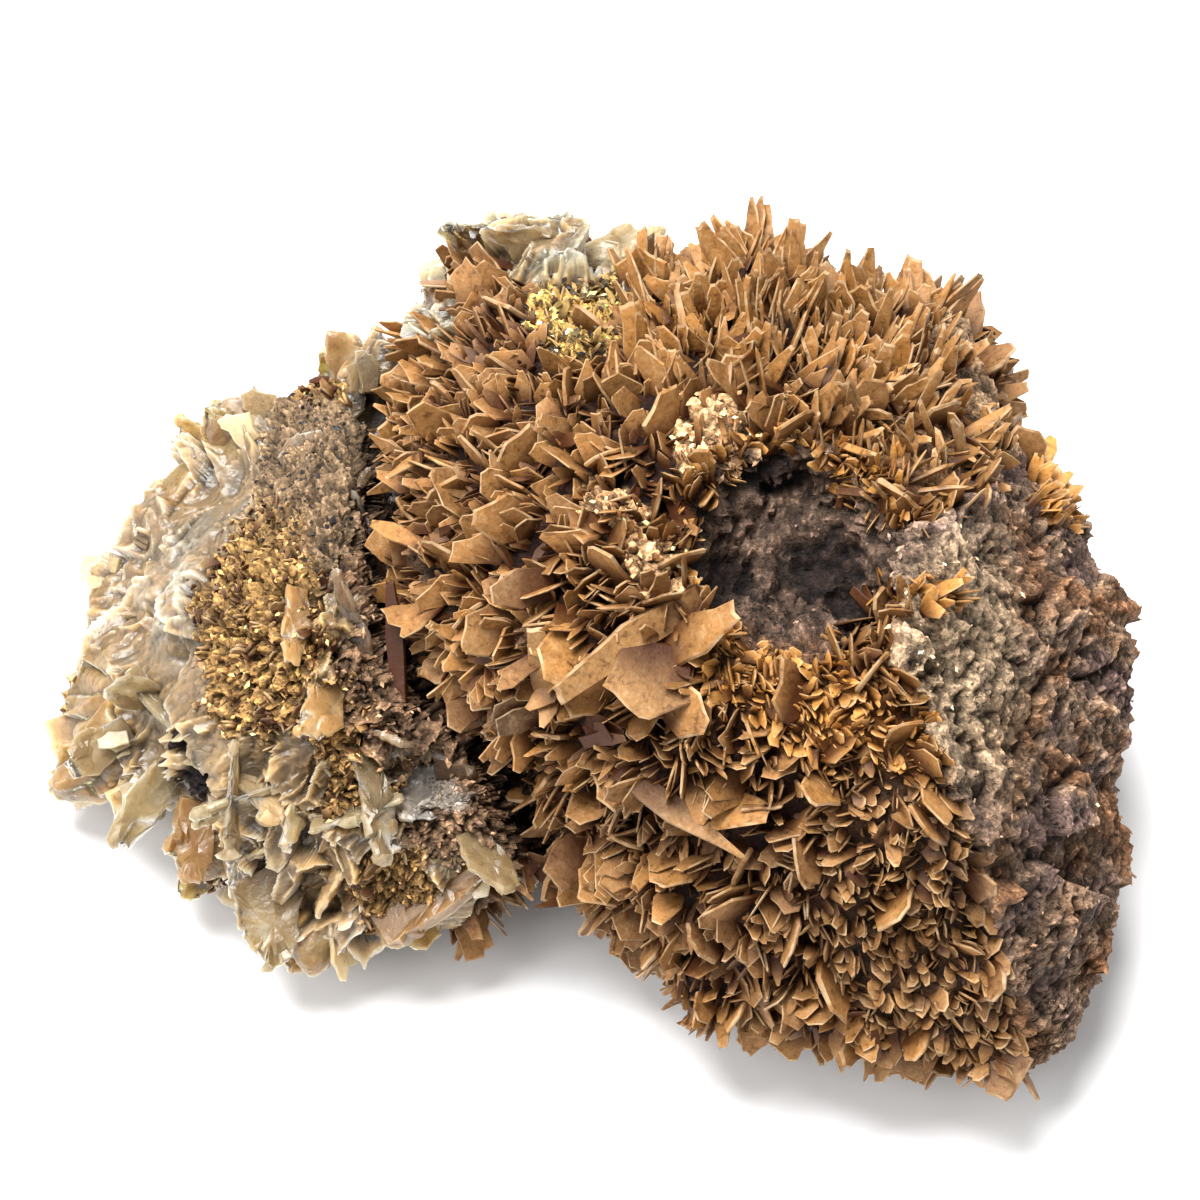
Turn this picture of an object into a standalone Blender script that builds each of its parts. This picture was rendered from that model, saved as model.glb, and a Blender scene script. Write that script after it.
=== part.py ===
"""A hand specimen of bladed barite, about 185 mm long.

It is one natural piece: a tall lobe crusted with tan blades, with a pit in its broken top and a bare rock
face on its right, and a lower lobe of pale, cleaved barite on its left, grown together along a deep crevice.
It rests on a small flat spot underneath.

The surface is set out in a picture frame, in millimetres: u to the right, v up and w towards a viewer who
looks down at VIEW_ELEVATION. A unit sphere is mapped onto it, its near half to the side that the viewer sees
and its far half to the underside, and the crystals are set on it and fused to it.
"""

import math

import bmesh
import bpy
import numpy as np
from mathutils import noise

MM = 0.001
NAME = "barite_cluster"

# The viewer
VIEW_ELEVATION = math.radians(60)
VIEW_DISTANCE = 700.0
VIEW_AIM_V = 6.6

# The picture frame's zero point, from the middle of the flat spot: right, back and above the table
CENTRE_RIGHT = 12.0
CENTRE_BACK = 16.0
CENTRE_HEIGHT = 58.0

# The outline that the viewer sees, clockwise from the right-hand side (u, v)
OUTLINE = [
    (85, 8), (87, 5), (88, -8), (86, -23), (88, -40), (87, -50), (82, -59), (78, -67), (69, -74),
    (59, -72), (46, -70), (35, -69), (23, -66), (17, -67), (13, -58), (7, -52), (0, -48), (-7, -40),
    (-11.5, -39), (-18, -44.5), (-26, -50), (-35, -52), (-42, -53), (-50, -55), (-58, -50), (-62, -43),
    (-67, -43), (-71, -36), (-74, -30), (-82, -30), (-91, -24), (-90, -16), (-88, -6), (-85, 5),
    (-82, 13), (-76, 24), (-71, 29), (-65, 39), (-60, 38), (-56, 38), (-51, 42), (-45, 44), (-46, 47),
    (-42, 49), (-37, 48), (-31.5, 53), (-30, 58.5), (-26, 64), (-20, 69), (-17, 71), (-10, 70), (0, 66),
    (7, 67), (16, 63), (25, 67), (36, 65), (41, 61), (50, 59), (58, 57), (63.5, 53), (68, 45),
    (68, 36), (72, 31), (78, 23), (79, 16),
]
OUTLINE_CENTRE = (-1.5, 0.0)

# The outline's edge by its direction from OUTLINE_CENTRE: degrees, height above the table, reach of its
# crystals
EDGE = [
    (0, 48, 0.5), (16, 50, 0.5), (24, 54, 1.5), (33, 58, 3.0), (50, 66, 3.5), (68, 72, 3.5), (82, 68, 3.5),
    (97, 64, 3.0), (108, 58, 3.0), (120, 46, 2.5), (138, 32, 1.5), (158, 26, 1.5), (180, 20, 1.5),
    (200, 16, 3.0), (222, 14, 3.5), (238, 17, 3.5), (250, 23, 3.0), (257, 28, 2.0), (266, 28, 2.5),
    (285, 22, 3.5), (312, 20, 3.5), (322, 22, 1.0), (345, 34, 0.5),
]

# Landmarks of the side that the viewer sees (u, v, height above the table)
LANDMARKS = [
    # the pit's rim and the plateau
    (33, 35, 88), (13, 15, 88), (53, 14, 85), (34, -5, 82), (3, 27, 87), (5, 8, 85), (62, 0, 78),
    (66, 24, 75), (60, 40, 78), (48, 50, 80), (28, 56, 84), (8, 52, 82), (-12, 34, 80), (-14, 48, 76),
    (-24, 56, 68), (-10, 64, 70),
    # down to the crevice
    (-26, 34, 70), (-27, 20, 66), (-12, 8, 75), (-20, 2, 64), (-4, -10, 68), (-12, -18, 54),
    # the front face
    (12, -14, 74), (2, -27, 53), (20, -27, 62), (-3, -36, 38), (11, -43, 42), (27, -43, 50), (27, -60, 32),
    (44, -19, 73), (52, -35, 62), (51, -56, 41), (58, -17, 72), (66, -50, 45),
    # the bare rock face
    (57, -21, 72), (62, -36, 59), (67, -53, 44), (70, -66, 31), (70, -20, 63), (76, -34, 48), (78, -50, 36),
    (79, -10, 56), (76, -62, 30), (77, 12, 60),
    # the pale lobe
    (-44, 26, 56), (-55, 23, 50), (-42, 10, 56), (-60, 7, 49), (-76, 7, 36), (-46, -7, 52), (-64, -13, 42),
    (-80, -18, 28), (-32, -18, 46), (-51, -30, 37), (-30, -34, 36), (-64, -36, 26), (-46, -47, 23),
    (-68, 26, 37), (-52, 38, 42), (-40, 43, 50),
]

# The crevice between the lobes, from its top to the notch at its foot (u, v)
CREVICE = [(-31, 46), (-35, 38), (-35, 25), (-35, 12), (-33, 2), (-27, -8), (-18, -16), (-12, -26), (-8, -38)]
CREVICE_DEPTH = 17.0
CREVICE_HALF_WIDTH = 4.5

# Hollows: middle (u, v), half sizes, depth
HOLLOWS = [
    (31.5, 13.5, 17.0, 16.0, 17.0),
    (43.0, 3.5, 6.0, 5.0, 6.0),
    (-29.0, -22.0, 7.0, 3.5, 7.0),
    (46.0, 33.0, 3.5, 3.0, 5.0),
]
# Ridges and lumps: middle (u, v), half sizes, height
LUMPS = [
    (-6.0, 66.0, 14.0, 4.0, 5.0),
    (-28.0, 55.0, 5.0, 6.0, 3.0),
    (-57.0, 4.0, 16.0, 12.0, 3.0),
    (57.0, -30.0, 5.0, 18.0, 3.0),
    (10.0, -21.0, 14.0, 5.0, 3.5),
]

# The underside: how full it is, and how far its middle lies from the outline's
UNDERSIDE_FULLNESS = 1.08
UNDERSIDE_SHIFT = (11.0, -11.0)
# The rock's own lumps: how long and how high
LUMP_SCALE = 13.0
LUMP_HEIGHT = 2.2

# How evenly the sheet through the landmarks bends, and how steeply each half meets the outline
SHEET_EVENNESS = 2.0
FRONT_POWER = 3
UNDERSIDE_POWER = 0.85

# Hearts that the crystals radiate from (u, v, w)
TALL_HEART = (28.0, 0.0, -24.0)
LOW_HEART = (-34.0, -6.0, -34.0)

# Crystals named one by one: middle of the root (u, v), heading in the picture and lift towards the viewer in
# degrees, turn of the face about the growth line, length, width, thickness
NAMED_CRYSTALS = [
    (1.0, -6.0, 215, 40, 14, 11.0, 9.0, 1.6),
    (12.0, -10.0, 318, 42, -28, 10.0, 9.0, 1.6),
    (12.5, -1.5, 35, 30, 28, 14.0, 8.0, 1.8),
    (-5.0, 2.0, 255, 38, 15, 12.0, 9.0, 1.6),
    (15.0, -27.0, 350, 35, 25, 16.0, 8.0, 1.6),
    (-12.0, 20.0, 180, 35, 10, 11.0, 9.0, 1.5),
    (-34.0, 5.0, 110, 15, 44, 24.0, 6.0, 2.2),
    (-39.0, -4.0, 104, 12, 25, 18.0, 6.0, 2.0),
    (-8.0, 64.0, 165, 25, 30, 15.0, 11.0, 4.0),
    (0.0, 64.0, 15, 15, 40, 12.0, 8.0, 3.5),
    (-16.0, 64.0, 150, 25, 25, 12.0, 9.0, 3.5),
    (-43.0, 43.0, 120, 20, 20, 6.0, 7.0, 2.5),
    (-61.0, 34.0, 118, 20, 20, 7.0, 7.0, 2.2),
    (-66.0, 33.0, 135, 15, 30, 6.0, 6.0, 2.2),
    (-86.0, -20.0, 200, 15, 20, 5.0, 10.0, 3.5),
    (-78.0, -26.0, 235, 10, 25, 6.0, 9.0, 3.0),
    (-66.0, -38.0, 240, 10, 25, 6.0, 8.0, 2.8),
    (-50.0, -50.0, 260, 10, 15, 5.0, 9.0, 2.8),
    (-30.0, -46.0, 275, 15, 20, 6.0, 9.0, 3.0),
    (-57.0, -22.0, 285, 45, 30, 13.0, 9.0, 1.8),
    (-50.0, -28.0, 250, 50, 60, 12.0, 8.0, 1.8),
    (-74.0, -10.0, 160, 45, 35, 12.0, 9.0, 2.4),
]

# The crystals' kinds: length, width and thickness, each from least to most, how far the root is buried, how
# much the growth follows the surface's normal and how much it leans outwards from the heart, and how much it wanders
BLADE = ((4.5, 7.5), (6.5, 10.0), (1.5, 2.2), 4.0, 0.7, 0.45, 0.32)
PLATE = ((4.0, 7.0), (9.0, 15.0), (2.4, 3.8), 5.0, 0.4, 0.9, 0.30)
CRYSTAL_SPACING = 10.8
EDGE_THINNING = 0.75
NAMED_BURIED = 4.0
CRYSTAL_SEED = 41
CRYSTAL_CANDIDATES = 9000
TABLE_CLEARANCE = 1.5

# How much a pale crystal's face turns towards the surface's normal
PLATE_FLATNESS = 1.2
# Crystals are as dense all over but where the surface is stretched more than in this share of all places
EVEN_SHARE = 0.95

# The left edge of the bare rock face, from its top down (v, u), and the v below which it is bare
ROCK_EDGE = [
    (33, 66), (23, 63), (21, 52), (13, 48), (-2, 48), (-13, 54), (-20, 57), (-35, 62), (-51, 66), (-69, 69),
]
ROCK_TOP = 30.0
# Where the pale lobe is smooth and waxy, without large crystals (u, v, half width, half height)
WAXY = [(-68.0, 14.0, 24.0, 27.0), (-50.0, 4.0, 15.0, 24.0)]
WAXY_SHARE = 0.4
# How far the pit's bare wall reaches past its half sizes, and how far down the far half the crystals go
PIT_REACH = 1.05
UNDERSIDE_CRUST = 0.45

# How far to either side a normal is measured, on the unit sphere
NORMAL_STEP = 0.012

# The body's mesh: its segments and rings, and the share of its faces that is kept
BASE_SEGMENTS = 160
BASE_RINGS = 80
BASE_KEPT = 0.084
# How far the crust is roughened, in mm, and as a share of the shortest edge at a corner
CRUST_ROUGHNESS = 1.3
CRUST_ROOM = 0.25

TAN = (0.48, 0.29, 0.14, 1.0)


def crevice_distance(u, v):
    """Distance in the picture from the crevice's line."""
    nearest = np.full(np.shape(u), 1e9)
    for (ua, va), (ub, vb) in zip(CREVICE, CREVICE[1:]):
        du, dv = ub - ua, vb - va
        along = np.clip(((u - ua) * du + (v - va) * dv) / (du * du + dv * dv), 0, 1)
        nearest = np.minimum(nearest, np.hypot(u - ua - along * du, v - va - along * dv))
    return nearest


def crevice_u(v):
    """The crevice's place at a height in the picture, which parts the two lobes."""
    line = sorted((y, x) for x, y in CREVICE)
    return np.interp(v, [y for y, _ in line], [x for _, x in line])


def depth_at(v, height):
    """The w of a point at this v that is this high above the table."""
    return (height - CENTRE_HEIGHT - v * math.cos(VIEW_ELEVATION)) / math.sin(VIEW_ELEVATION)


def thin_plate(landmarks):
    """A smooth sheet w(u, v) through the landmarks."""
    places = np.array([(u, v) for u, v, _ in landmarks], float)
    depths = np.array([depth_at(v, height) for _, v, height in landmarks])
    count = len(places)

    def bend(squared):
        return 0.5 * squared * np.log(squared + 1e-9)

    gaps = ((places[:, None] - places[None]) ** 2).sum(-1)
    flat = np.column_stack([np.ones(count), places])
    system = np.block([[bend(gaps) + SHEET_EVENNESS * np.eye(count), flat], [flat.T, np.zeros((3, 3))]])
    weights = np.linalg.solve(system, np.concatenate([depths, np.zeros(3)]))

    def sheet(u, v):
        squared = (u[:, None] - places[:, 0]) ** 2 + (v[:, None] - places[:, 1]) ** 2
        slope = weights[count] + weights[count + 1] * u + weights[count + 2] * v
        return bend(squared) @ weights[:count] + slope

    return sheet


# The side that the viewer sees, before its crevice, hollows and lumps
SHEET = thin_plate(LANDMARKS)


def bell(u, v, spot):
    """A smooth rise of 1 in the middle of a spot, (u, v, half width, half height, ...)."""
    middle_u, middle_v, half_u, half_v = spot[:4]
    return np.exp(-(((u - middle_u) / half_u) ** 2 + ((v - middle_v) / half_v) ** 2) ** 2)


def surface(directions):
    """The surface in the picture frame, for unit directions whose third number points at the viewer."""
    across, up, near = directions.T
    rim_share = np.hypot(across, up)
    angle = np.degrees(np.arctan2(up, across)) % 360
    corners = np.array(OUTLINE, float) - OUTLINE_CENTRE
    corner_angles = np.degrees(np.arctan2(corners[:, 1], corners[:, 0])) % 360
    order = np.argsort(corner_angles)
    reach = np.interp(angle, corner_angles[order], np.hypot(*corners.T)[order], period=360)
    edge_angles, edge_heights, edge_crystals = zip(*EDGE)
    reach = reach - np.interp(angle, edge_angles, edge_crystals, period=360)
    safe = np.maximum(rim_share, 1e-9)
    far = np.maximum(-near, 0)
    u = OUTLINE_CENTRE[0] + UNDERSIDE_SHIFT[0] * far**2 + reach * rim_share * across / safe
    v = OUTLINE_CENTRE[1] + UNDERSIDE_SHIFT[1] * far**2 + reach * rim_share * up / safe
    edge = depth_at(v, np.interp(angle, edge_angles, edge_heights, period=360))

    face = SHEET(u, v)
    face = face - CREVICE_DEPTH * np.exp(-((crevice_distance(u, v) / CREVICE_HALF_WIDTH) ** 2))
    for hollow in HOLLOWS:
        face = face - hollow[4] * bell(u, v, hollow)
    for lump in LUMPS:
        face = face + lump[4] * bell(u, v, lump)
    front = edge + (face - edge) * (1 - (1 - np.maximum(near, 0)) ** FRONT_POWER)

    floor = depth_at(v, 0.0)
    back = edge + (floor - edge) * UNDERSIDE_FULLNESS * far**UNDERSIDE_POWER
    return np.column_stack([u, v, np.where(near >= 0, front, back)])


def lumpy(points, normals):
    """The surface with the rock's own lumps on it."""
    rise = [noise.fractal(p / LUMP_SCALE, 0.9, 2.2, 3) for p in points]
    return points + normals * (LUMP_HEIGHT * np.array(rise))[:, None]


def frame_at(directions):
    """Points and outward normals of the smooth surface at unit directions."""
    directions = np.asarray(directions, float)
    helper = np.where(np.abs(directions[:, 2:]) < 0.9, [[0, 0, 1.0]], [[1.0, 0, 0]])
    first = np.cross(directions, helper)
    first /= np.linalg.norm(first, axis=1)[:, None]
    second = np.cross(directions, first)

    def moved(way, sign):
        bent = directions + sign * NORMAL_STEP * way
        return surface(bent / np.linalg.norm(bent, axis=1)[:, None])

    normals = np.cross(moved(first, 1) - moved(first, -1), moved(second, 1) - moved(second, -1))
    lengths = np.maximum(np.linalg.norm(normals, axis=1), 1e-12)
    return surface(directions), normals / lengths[:, None], lengths


def to_row(points):
    """From the picture frame to the part's own, in metres. What is nearer looks larger, so it is drawn in."""
    u, v, w = np.asarray(points, float).T
    nearness = 1 - w / VIEW_DISTANCE
    u = u * nearness
    v = VIEW_AIM_V + (v - VIEW_AIM_V) * nearness
    sine, cosine = math.sin(VIEW_ELEVATION), math.cos(VIEW_ELEVATION)
    back = v * sine - w * cosine - CENTRE_BACK
    return np.column_stack([u - CENTRE_RIGHT, back, CENTRE_HEIGHT + v * cosine + w * sine]) * MM


def unit(vector):
    """A vector made one long."""
    vector = np.asarray(vector, float)
    return vector / np.linalg.norm(vector)


def is_bare(direction, point):
    """Whether a place has no large crystals: the rock, the pit, the waxy slope and much of the underside."""
    u, v, _ = point
    line = sorted(ROCK_EDGE)
    if direction[2] < -UNDERSIDE_CRUST:
        return True
    if u > np.interp(v, [y for y, _ in line], [x for _, x in line]) and v < ROCK_TOP:
        return True
    if direction[2] > -0.3 and max(bell(u, v, place) for place in WAXY) > WAXY_SHARE:
        return True
    pit = HOLLOWS[0]
    return math.hypot((u - pit[0]) / pit[2], (v - pit[1]) / pit[3]) < PIT_REACH and direction[2] > 0


def tablet(root, growth, face, length, width, thickness, buried, rng):
    """Corners and faces of a tabular crystal that thins towards its edge, its root buried and its tip cut."""
    growth = unit(growth)
    across = unit(np.cross(face, growth))
    face = np.cross(growth, across)
    shoulder = rng.uniform(0.35, 0.6)
    skew = rng.uniform(-0.25, 0.25)
    cut = rng.uniform(0.05, 0.25)
    outline = [
        (-0.36, -buried / length), (0.36, -buried / length), (0.5, shoulder + 0.3 * skew),
        (skew + cut, 1.0), (skew - cut, 1.0), (-0.5, shoulder - 0.3 * skew),
    ]
    flat = np.array([root + across * s * width + growth * t * length for s, t in outline])
    halves = np.array([0.5 * thickness * (1 - EDGE_THINNING * max(t, 0)) for _, t in outline])
    count = len(outline)
    faces = [tuple(range(count)), tuple(range(2 * count - 1, count - 1, -1))]
    for i in range(count):
        j = (i + 1) % count
        faces.append((j, i, count + i, count + j))
    return np.vstack([flat + face * halves[:, None], flat - face * halves[:, None]]), faces


def named_crystals():
    """The crystals that are placed by hand, and their roots."""
    made = []
    roots = []
    for index, (u, v, heading, lift, turn, length, width, thickness) in enumerate(NAMED_CRYSTALS):
        rng = np.random.default_rng([CRYSTAL_SEED, 1, index])
        heading, lift, turn = (math.radians(angle) for angle in (heading, lift, turn))
        growth = np.array([
            math.cos(heading) * math.cos(lift), math.sin(heading) * math.cos(lift), math.sin(lift)
        ])
        flat = unit(np.cross([0, 0, 1], growth))
        face = math.cos(turn) * np.cross(growth, flat) + math.sin(turn) * flat
        roots.append(np.array([u, v, face_depth(u, v)]))
        made.append(tablet(roots[-1], growth, face, length, width, thickness, NAMED_BURIED, rng))
    return made, roots


def face_depth(u, v):
    """The w of the side that the viewer sees, found by stepping outwards along the sphere."""
    offset = np.array([u, v]) - OUTLINE_CENTRE
    across, up = offset / np.linalg.norm(offset)
    shares = np.linspace(0, 0.999, 400)
    directions = np.column_stack([across * shares, up * shares, np.sqrt(1 - shares**2)])
    points = surface(directions)
    return float(points[np.argmin(np.hypot(points[:, 0] - u, points[:, 1] - v)), 2])


def scattered_crystals(taken):
    """The other large crystals, spread over what isn't taken and pointing away from their lobe's heart."""
    rng = np.random.default_rng(CRYSTAL_SEED)
    directions = rng.normal(size=(CRYSTAL_CANDIDATES, 3))
    directions /= np.linalg.norm(directions, axis=1)[:, None]
    chances = rng.random(CRYSTAL_CANDIDATES)
    points, normals, areas = frame_at(directions)
    chosen = list(taken)
    made = []
    for index in np.nonzero(chances < areas / np.quantile(areas, EVEN_SHARE))[0]:
        point, normal = points[index], normals[index]
        if is_bare(directions[index], point):
            continue
        if np.min(np.linalg.norm(np.array(chosen) - point, axis=1)) < CRYSTAL_SPACING:
            continue
        chosen.append(point)
        own = np.random.default_rng([CRYSTAL_SEED, 2, index])
        pale = point[0] < crevice_u(point[1])
        kind = PLATE if pale else BLADE
        heart = LOW_HEART if pale else TALL_HEART
        lengths, widths, thicknesses, buried, follow, lean, wander = kind
        growth = unit(follow * normal + lean * unit(point - heart) + wander * own.normal(size=3))
        face = np.cross(growth, own.normal(size=3))
        if pale:
            face = unit(face) + PLATE_FLATNESS * normal
            face = face - growth * np.dot(face, growth)
        size = [own.uniform(*least_to_most) for least_to_most in (lengths, widths, thicknesses)]
        made.append(tablet(point, growth, face, *size, buried, own))
    return made


def crystal_mesh():
    """All the large crystals that stay clear of the table, as one mesh of closed shells."""
    mesh = bpy.data.meshes.new("crystals")
    corners = []
    faces = []
    named, roots = named_crystals()
    for points, sides in named + scattered_crystals(roots):
        places = to_row(points)
        if places[:, 2].min() < TABLE_CLEARANCE * MM:
            continue
        faces += [tuple(len(corners) + corner for corner in side) for side in sides]
        corners += [tuple(place) for place in places]
    mesh.from_pydata(corners, [], faces)
    return mesh


def rock_mesh():
    """The body of the specimen, lumpy and whole."""
    shape = bmesh.new()
    bmesh.ops.create_uvsphere(shape, u_segments=BASE_SEGMENTS, v_segments=BASE_RINGS, radius=1.0)
    directions = np.array([vertex.co for vertex in shape.verts])
    directions /= np.linalg.norm(directions, axis=1)[:, None]
    points, normals, _ = frame_at(directions)
    for vertex, place in zip(shape.verts, to_row(lumpy(points, normals))):
        vertex.co = place
    mesh = bpy.data.meshes.new(NAME)
    shape.to_mesh(mesh)
    shape.free()
    return mesh


def roughen(shape):
    """The body gets the crust's small facets."""
    rng = np.random.default_rng(CRYSTAL_SEED)
    for vertex in shape.verts:
        room = CRUST_ROOM * min(edge.calc_length() for edge in vertex.link_edges)
        vertex.co += vertex.normal * float(rng.uniform(-1, 1)) * min(CRUST_ROUGHNESS * MM, room)


def finish_body(mesh):
    """The mesh is roughened, and its lowest part is cut off level and closed."""
    shape = bmesh.new()
    shape.from_mesh(mesh)
    roughen(shape)
    cut = bmesh.ops.bisect_plane(
        shape, geom=shape.verts[:] + shape.edges[:] + shape.faces[:], plane_co=(0, 0, 0), plane_no=(0, 0, -1),
        clear_outer=True,
    )
    rim = [item for item in cut["geom_cut"] if isinstance(item, bmesh.types.BMEdge)]
    bmesh.ops.triangle_fill(shape, edges=rim, use_beauty=True)
    bmesh.ops.recalc_face_normals(shape, faces=shape.faces[:])
    shape.to_mesh(mesh)
    shape.free()


def barite_material():
    """Tan, faintly waxy barite."""
    material = bpy.data.materials.new("barite_tan")
    material.use_nodes = True
    finish = material.node_tree.nodes["Principled BSDF"]
    finish.inputs["Base Color"].default_value = TAN
    finish.inputs["Roughness"].default_value = 0.5
    finish.inputs["Metallic"].default_value = 0.0
    return material


def keep_outer_skin(mesh):
    """Only the outside is kept of a mesh that also has closed pockets between its crystals."""
    shape = bmesh.new()
    shape.from_mesh(mesh)
    unseen = set(shape.verts)
    islands = []
    while unseen:
        island = {unseen.pop()}
        edge = list(island)
        while edge:
            for link in edge.pop().link_edges:
                for vertex in link.verts:
                    if vertex in unseen:
                        unseen.discard(vertex)
                        island.add(vertex)
                        edge.append(vertex)
        islands.append(island)
    largest = max(islands, key=len)
    pockets = [vertex for island in islands if island is not largest for vertex in island]
    bmesh.ops.delete(shape, geom=pockets, context="VERTS")
    bmesh.ops.triangulate(shape, faces=shape.faces[:])
    shape.to_mesh(mesh)
    shape.free()


def evaluated(item):
    """A mesh of its own from an object and its modifiers."""
    bpy.context.view_layer.update()
    return bpy.data.meshes.new_from_object(item.evaluated_get(bpy.context.evaluated_depsgraph_get()))


def main():
    """Make the specimen."""
    for item in list(bpy.context.scene.objects):
        bpy.data.objects.remove(item, do_unlink=True)
    parts = bpy.data.collections.new("barite_specimen")
    cutters = bpy.data.collections.new("tools")
    bpy.context.scene.collection.children.link(parts)
    bpy.context.scene.collection.children.link(cutters)

    specimen = bpy.data.objects.new(NAME, rock_mesh())
    parts.objects.link(specimen)
    crystals = bpy.data.objects.new("crystals_to_join", crystal_mesh())
    cutters.objects.link(crystals)
    crystals.hide_render = True
    crystals.display_type = "WIRE"

    thin = specimen.modifiers.new("thin_out", "DECIMATE")
    thin.ratio = BASE_KEPT
    specimen.data = evaluated(specimen)
    specimen.modifiers.clear()
    finish_body(specimen.data)

    join = specimen.modifiers.new("join_crystals", "BOOLEAN")
    join.operation = "UNION"
    join.solver = "EXACT"
    join.use_self = True
    join.object = crystals
    specimen.data = evaluated(specimen)
    specimen.modifiers.clear()
    bpy.data.objects.remove(crystals, do_unlink=True)
    keep_outer_skin(specimen.data)
    specimen.data.materials.clear()
    specimen.data.materials.append(barite_material())


main()
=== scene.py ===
"""The looks of a hand specimen of bladed barite.

The specimen's surface and its large crystals are worked out as in the part's own source, from the same
named values, and are then clothed: a rough ground, thousands of thin blades, pale cleaved plates, and grains.
Lengths are in millimetres in the picture frame (u right, v up, w towards the viewer), and to_row turns them
into the frame's metres.
"""

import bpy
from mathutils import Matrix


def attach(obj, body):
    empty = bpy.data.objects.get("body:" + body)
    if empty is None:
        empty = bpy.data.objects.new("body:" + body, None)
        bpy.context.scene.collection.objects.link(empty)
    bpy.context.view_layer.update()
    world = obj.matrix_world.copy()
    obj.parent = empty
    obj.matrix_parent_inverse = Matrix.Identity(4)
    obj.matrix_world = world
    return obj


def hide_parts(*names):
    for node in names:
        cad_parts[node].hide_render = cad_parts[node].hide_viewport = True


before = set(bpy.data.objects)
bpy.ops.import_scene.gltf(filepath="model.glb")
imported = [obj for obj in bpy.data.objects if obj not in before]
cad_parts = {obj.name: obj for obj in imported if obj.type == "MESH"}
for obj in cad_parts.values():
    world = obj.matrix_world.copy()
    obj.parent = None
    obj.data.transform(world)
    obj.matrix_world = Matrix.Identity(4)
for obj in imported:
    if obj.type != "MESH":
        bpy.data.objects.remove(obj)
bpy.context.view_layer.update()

import functools
import math
from types import SimpleNamespace

import bmesh
import bpy
import numpy as np
from bpy.props import FloatProperty, FloatVectorProperty, PointerProperty
from mathutils import Vector, kdtree, noise

# Blender's vector noise differs from one session to the next until it is seeded
SWIRL_SEED = 7
noise.seed_set(SWIRL_SEED)

bl_info = {
    "name": "Bladed barite specimen",
    "version": (1, 0, 0),
    "blender": (4, 5, 0),
    "location": "View3D > Sidebar > Barite",
    "description": "Builds a hand specimen of bladed barite on a pale table",
    "category": "Add Mesh",
}

MM = 0.001
NODE = "barite_cluster"
BODY = "root"

# The viewer
VIEW_ELEVATION = math.radians(60)
VIEW_DISTANCE = 700.0
VIEW_AIM_V = 6.6

# The picture frame's zero point, from the middle of the flat spot: right, back and above the table
CENTRE_RIGHT = 12.0
CENTRE_BACK = 16.0
CENTRE_HEIGHT = 58.0

# The outline that the viewer sees, clockwise from the right-hand side (u, v)
OUTLINE = [
    (85, 8), (87, 5), (88, -8), (86, -23), (88, -40), (87, -50), (82, -59), (78, -67), (69, -74),
    (59, -72), (46, -70), (35, -69), (23, -66), (17, -67), (13, -58), (7, -52), (0, -48), (-7, -40),
    (-11.5, -39), (-18, -44.5), (-26, -50), (-35, -52), (-42, -53), (-50, -55), (-58, -50), (-62, -43),
    (-67, -43), (-71, -36), (-74, -30), (-82, -30), (-91, -24), (-90, -16), (-88, -6), (-85, 5),
    (-82, 13), (-76, 24), (-71, 29), (-65, 39), (-60, 38), (-56, 38), (-51, 42), (-45, 44), (-46, 47),
    (-42, 49), (-37, 48), (-31.5, 53), (-30, 58.5), (-26, 64), (-20, 69), (-17, 71), (-10, 70), (0, 66),
    (7, 67), (16, 63), (25, 67), (36, 65), (41, 61), (50, 59), (58, 57), (63.5, 53), (68, 45),
    (68, 36), (72, 31), (78, 23), (79, 16),
]
OUTLINE_CENTRE = (-1.5, 0.0)

# The outline's edge by its direction from OUTLINE_CENTRE: degrees, height above the table, reach of its
# crystals
EDGE = [
    (0, 48, 0.5), (16, 50, 0.5), (24, 54, 1.5), (33, 58, 3.0), (50, 66, 3.5), (68, 72, 3.5), (82, 68, 3.5),
    (97, 64, 3.0), (108, 58, 3.0), (120, 46, 2.5), (138, 32, 1.5), (158, 26, 1.5), (180, 20, 1.5),
    (200, 16, 3.0), (222, 14, 3.5), (238, 17, 3.5), (250, 23, 3.0), (257, 28, 2.0), (266, 28, 2.5),
    (285, 22, 3.5), (312, 20, 3.5), (322, 22, 1.0), (345, 34, 0.5),
]

# Landmarks of the side that the viewer sees (u, v, height above the table)
LANDMARKS = [
    # the pit's rim and the plateau
    (33, 35, 88), (13, 15, 88), (53, 14, 85), (34, -5, 82), (3, 27, 87), (5, 8, 85), (62, 0, 78),
    (66, 24, 75), (60, 40, 78), (48, 50, 80), (28, 56, 84), (8, 52, 82), (-12, 34, 80), (-14, 48, 76),
    (-24, 56, 68), (-10, 64, 70),
    # down to the crevice
    (-26, 34, 70), (-27, 20, 66), (-12, 8, 75), (-20, 2, 64), (-4, -10, 68), (-12, -18, 54),
    # the front face
    (12, -14, 74), (2, -27, 53), (20, -27, 62), (-3, -36, 38), (11, -43, 42), (27, -43, 50), (27, -60, 32),
    (44, -19, 73), (52, -35, 62), (51, -56, 41), (58, -17, 72), (66, -50, 45),
    # the bare rock face
    (57, -21, 72), (62, -36, 59), (67, -53, 44), (70, -66, 31), (70, -20, 63), (76, -34, 48), (78, -50, 36),
    (79, -10, 56), (76, -62, 30), (77, 12, 60),
    # the pale lobe
    (-44, 26, 56), (-55, 23, 50), (-42, 10, 56), (-60, 7, 49), (-76, 7, 36), (-46, -7, 52), (-64, -13, 42),
    (-80, -18, 28), (-32, -18, 46), (-51, -30, 37), (-30, -34, 36), (-64, -36, 26), (-46, -47, 23),
    (-68, 26, 37), (-52, 38, 42), (-40, 43, 50),
]

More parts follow.
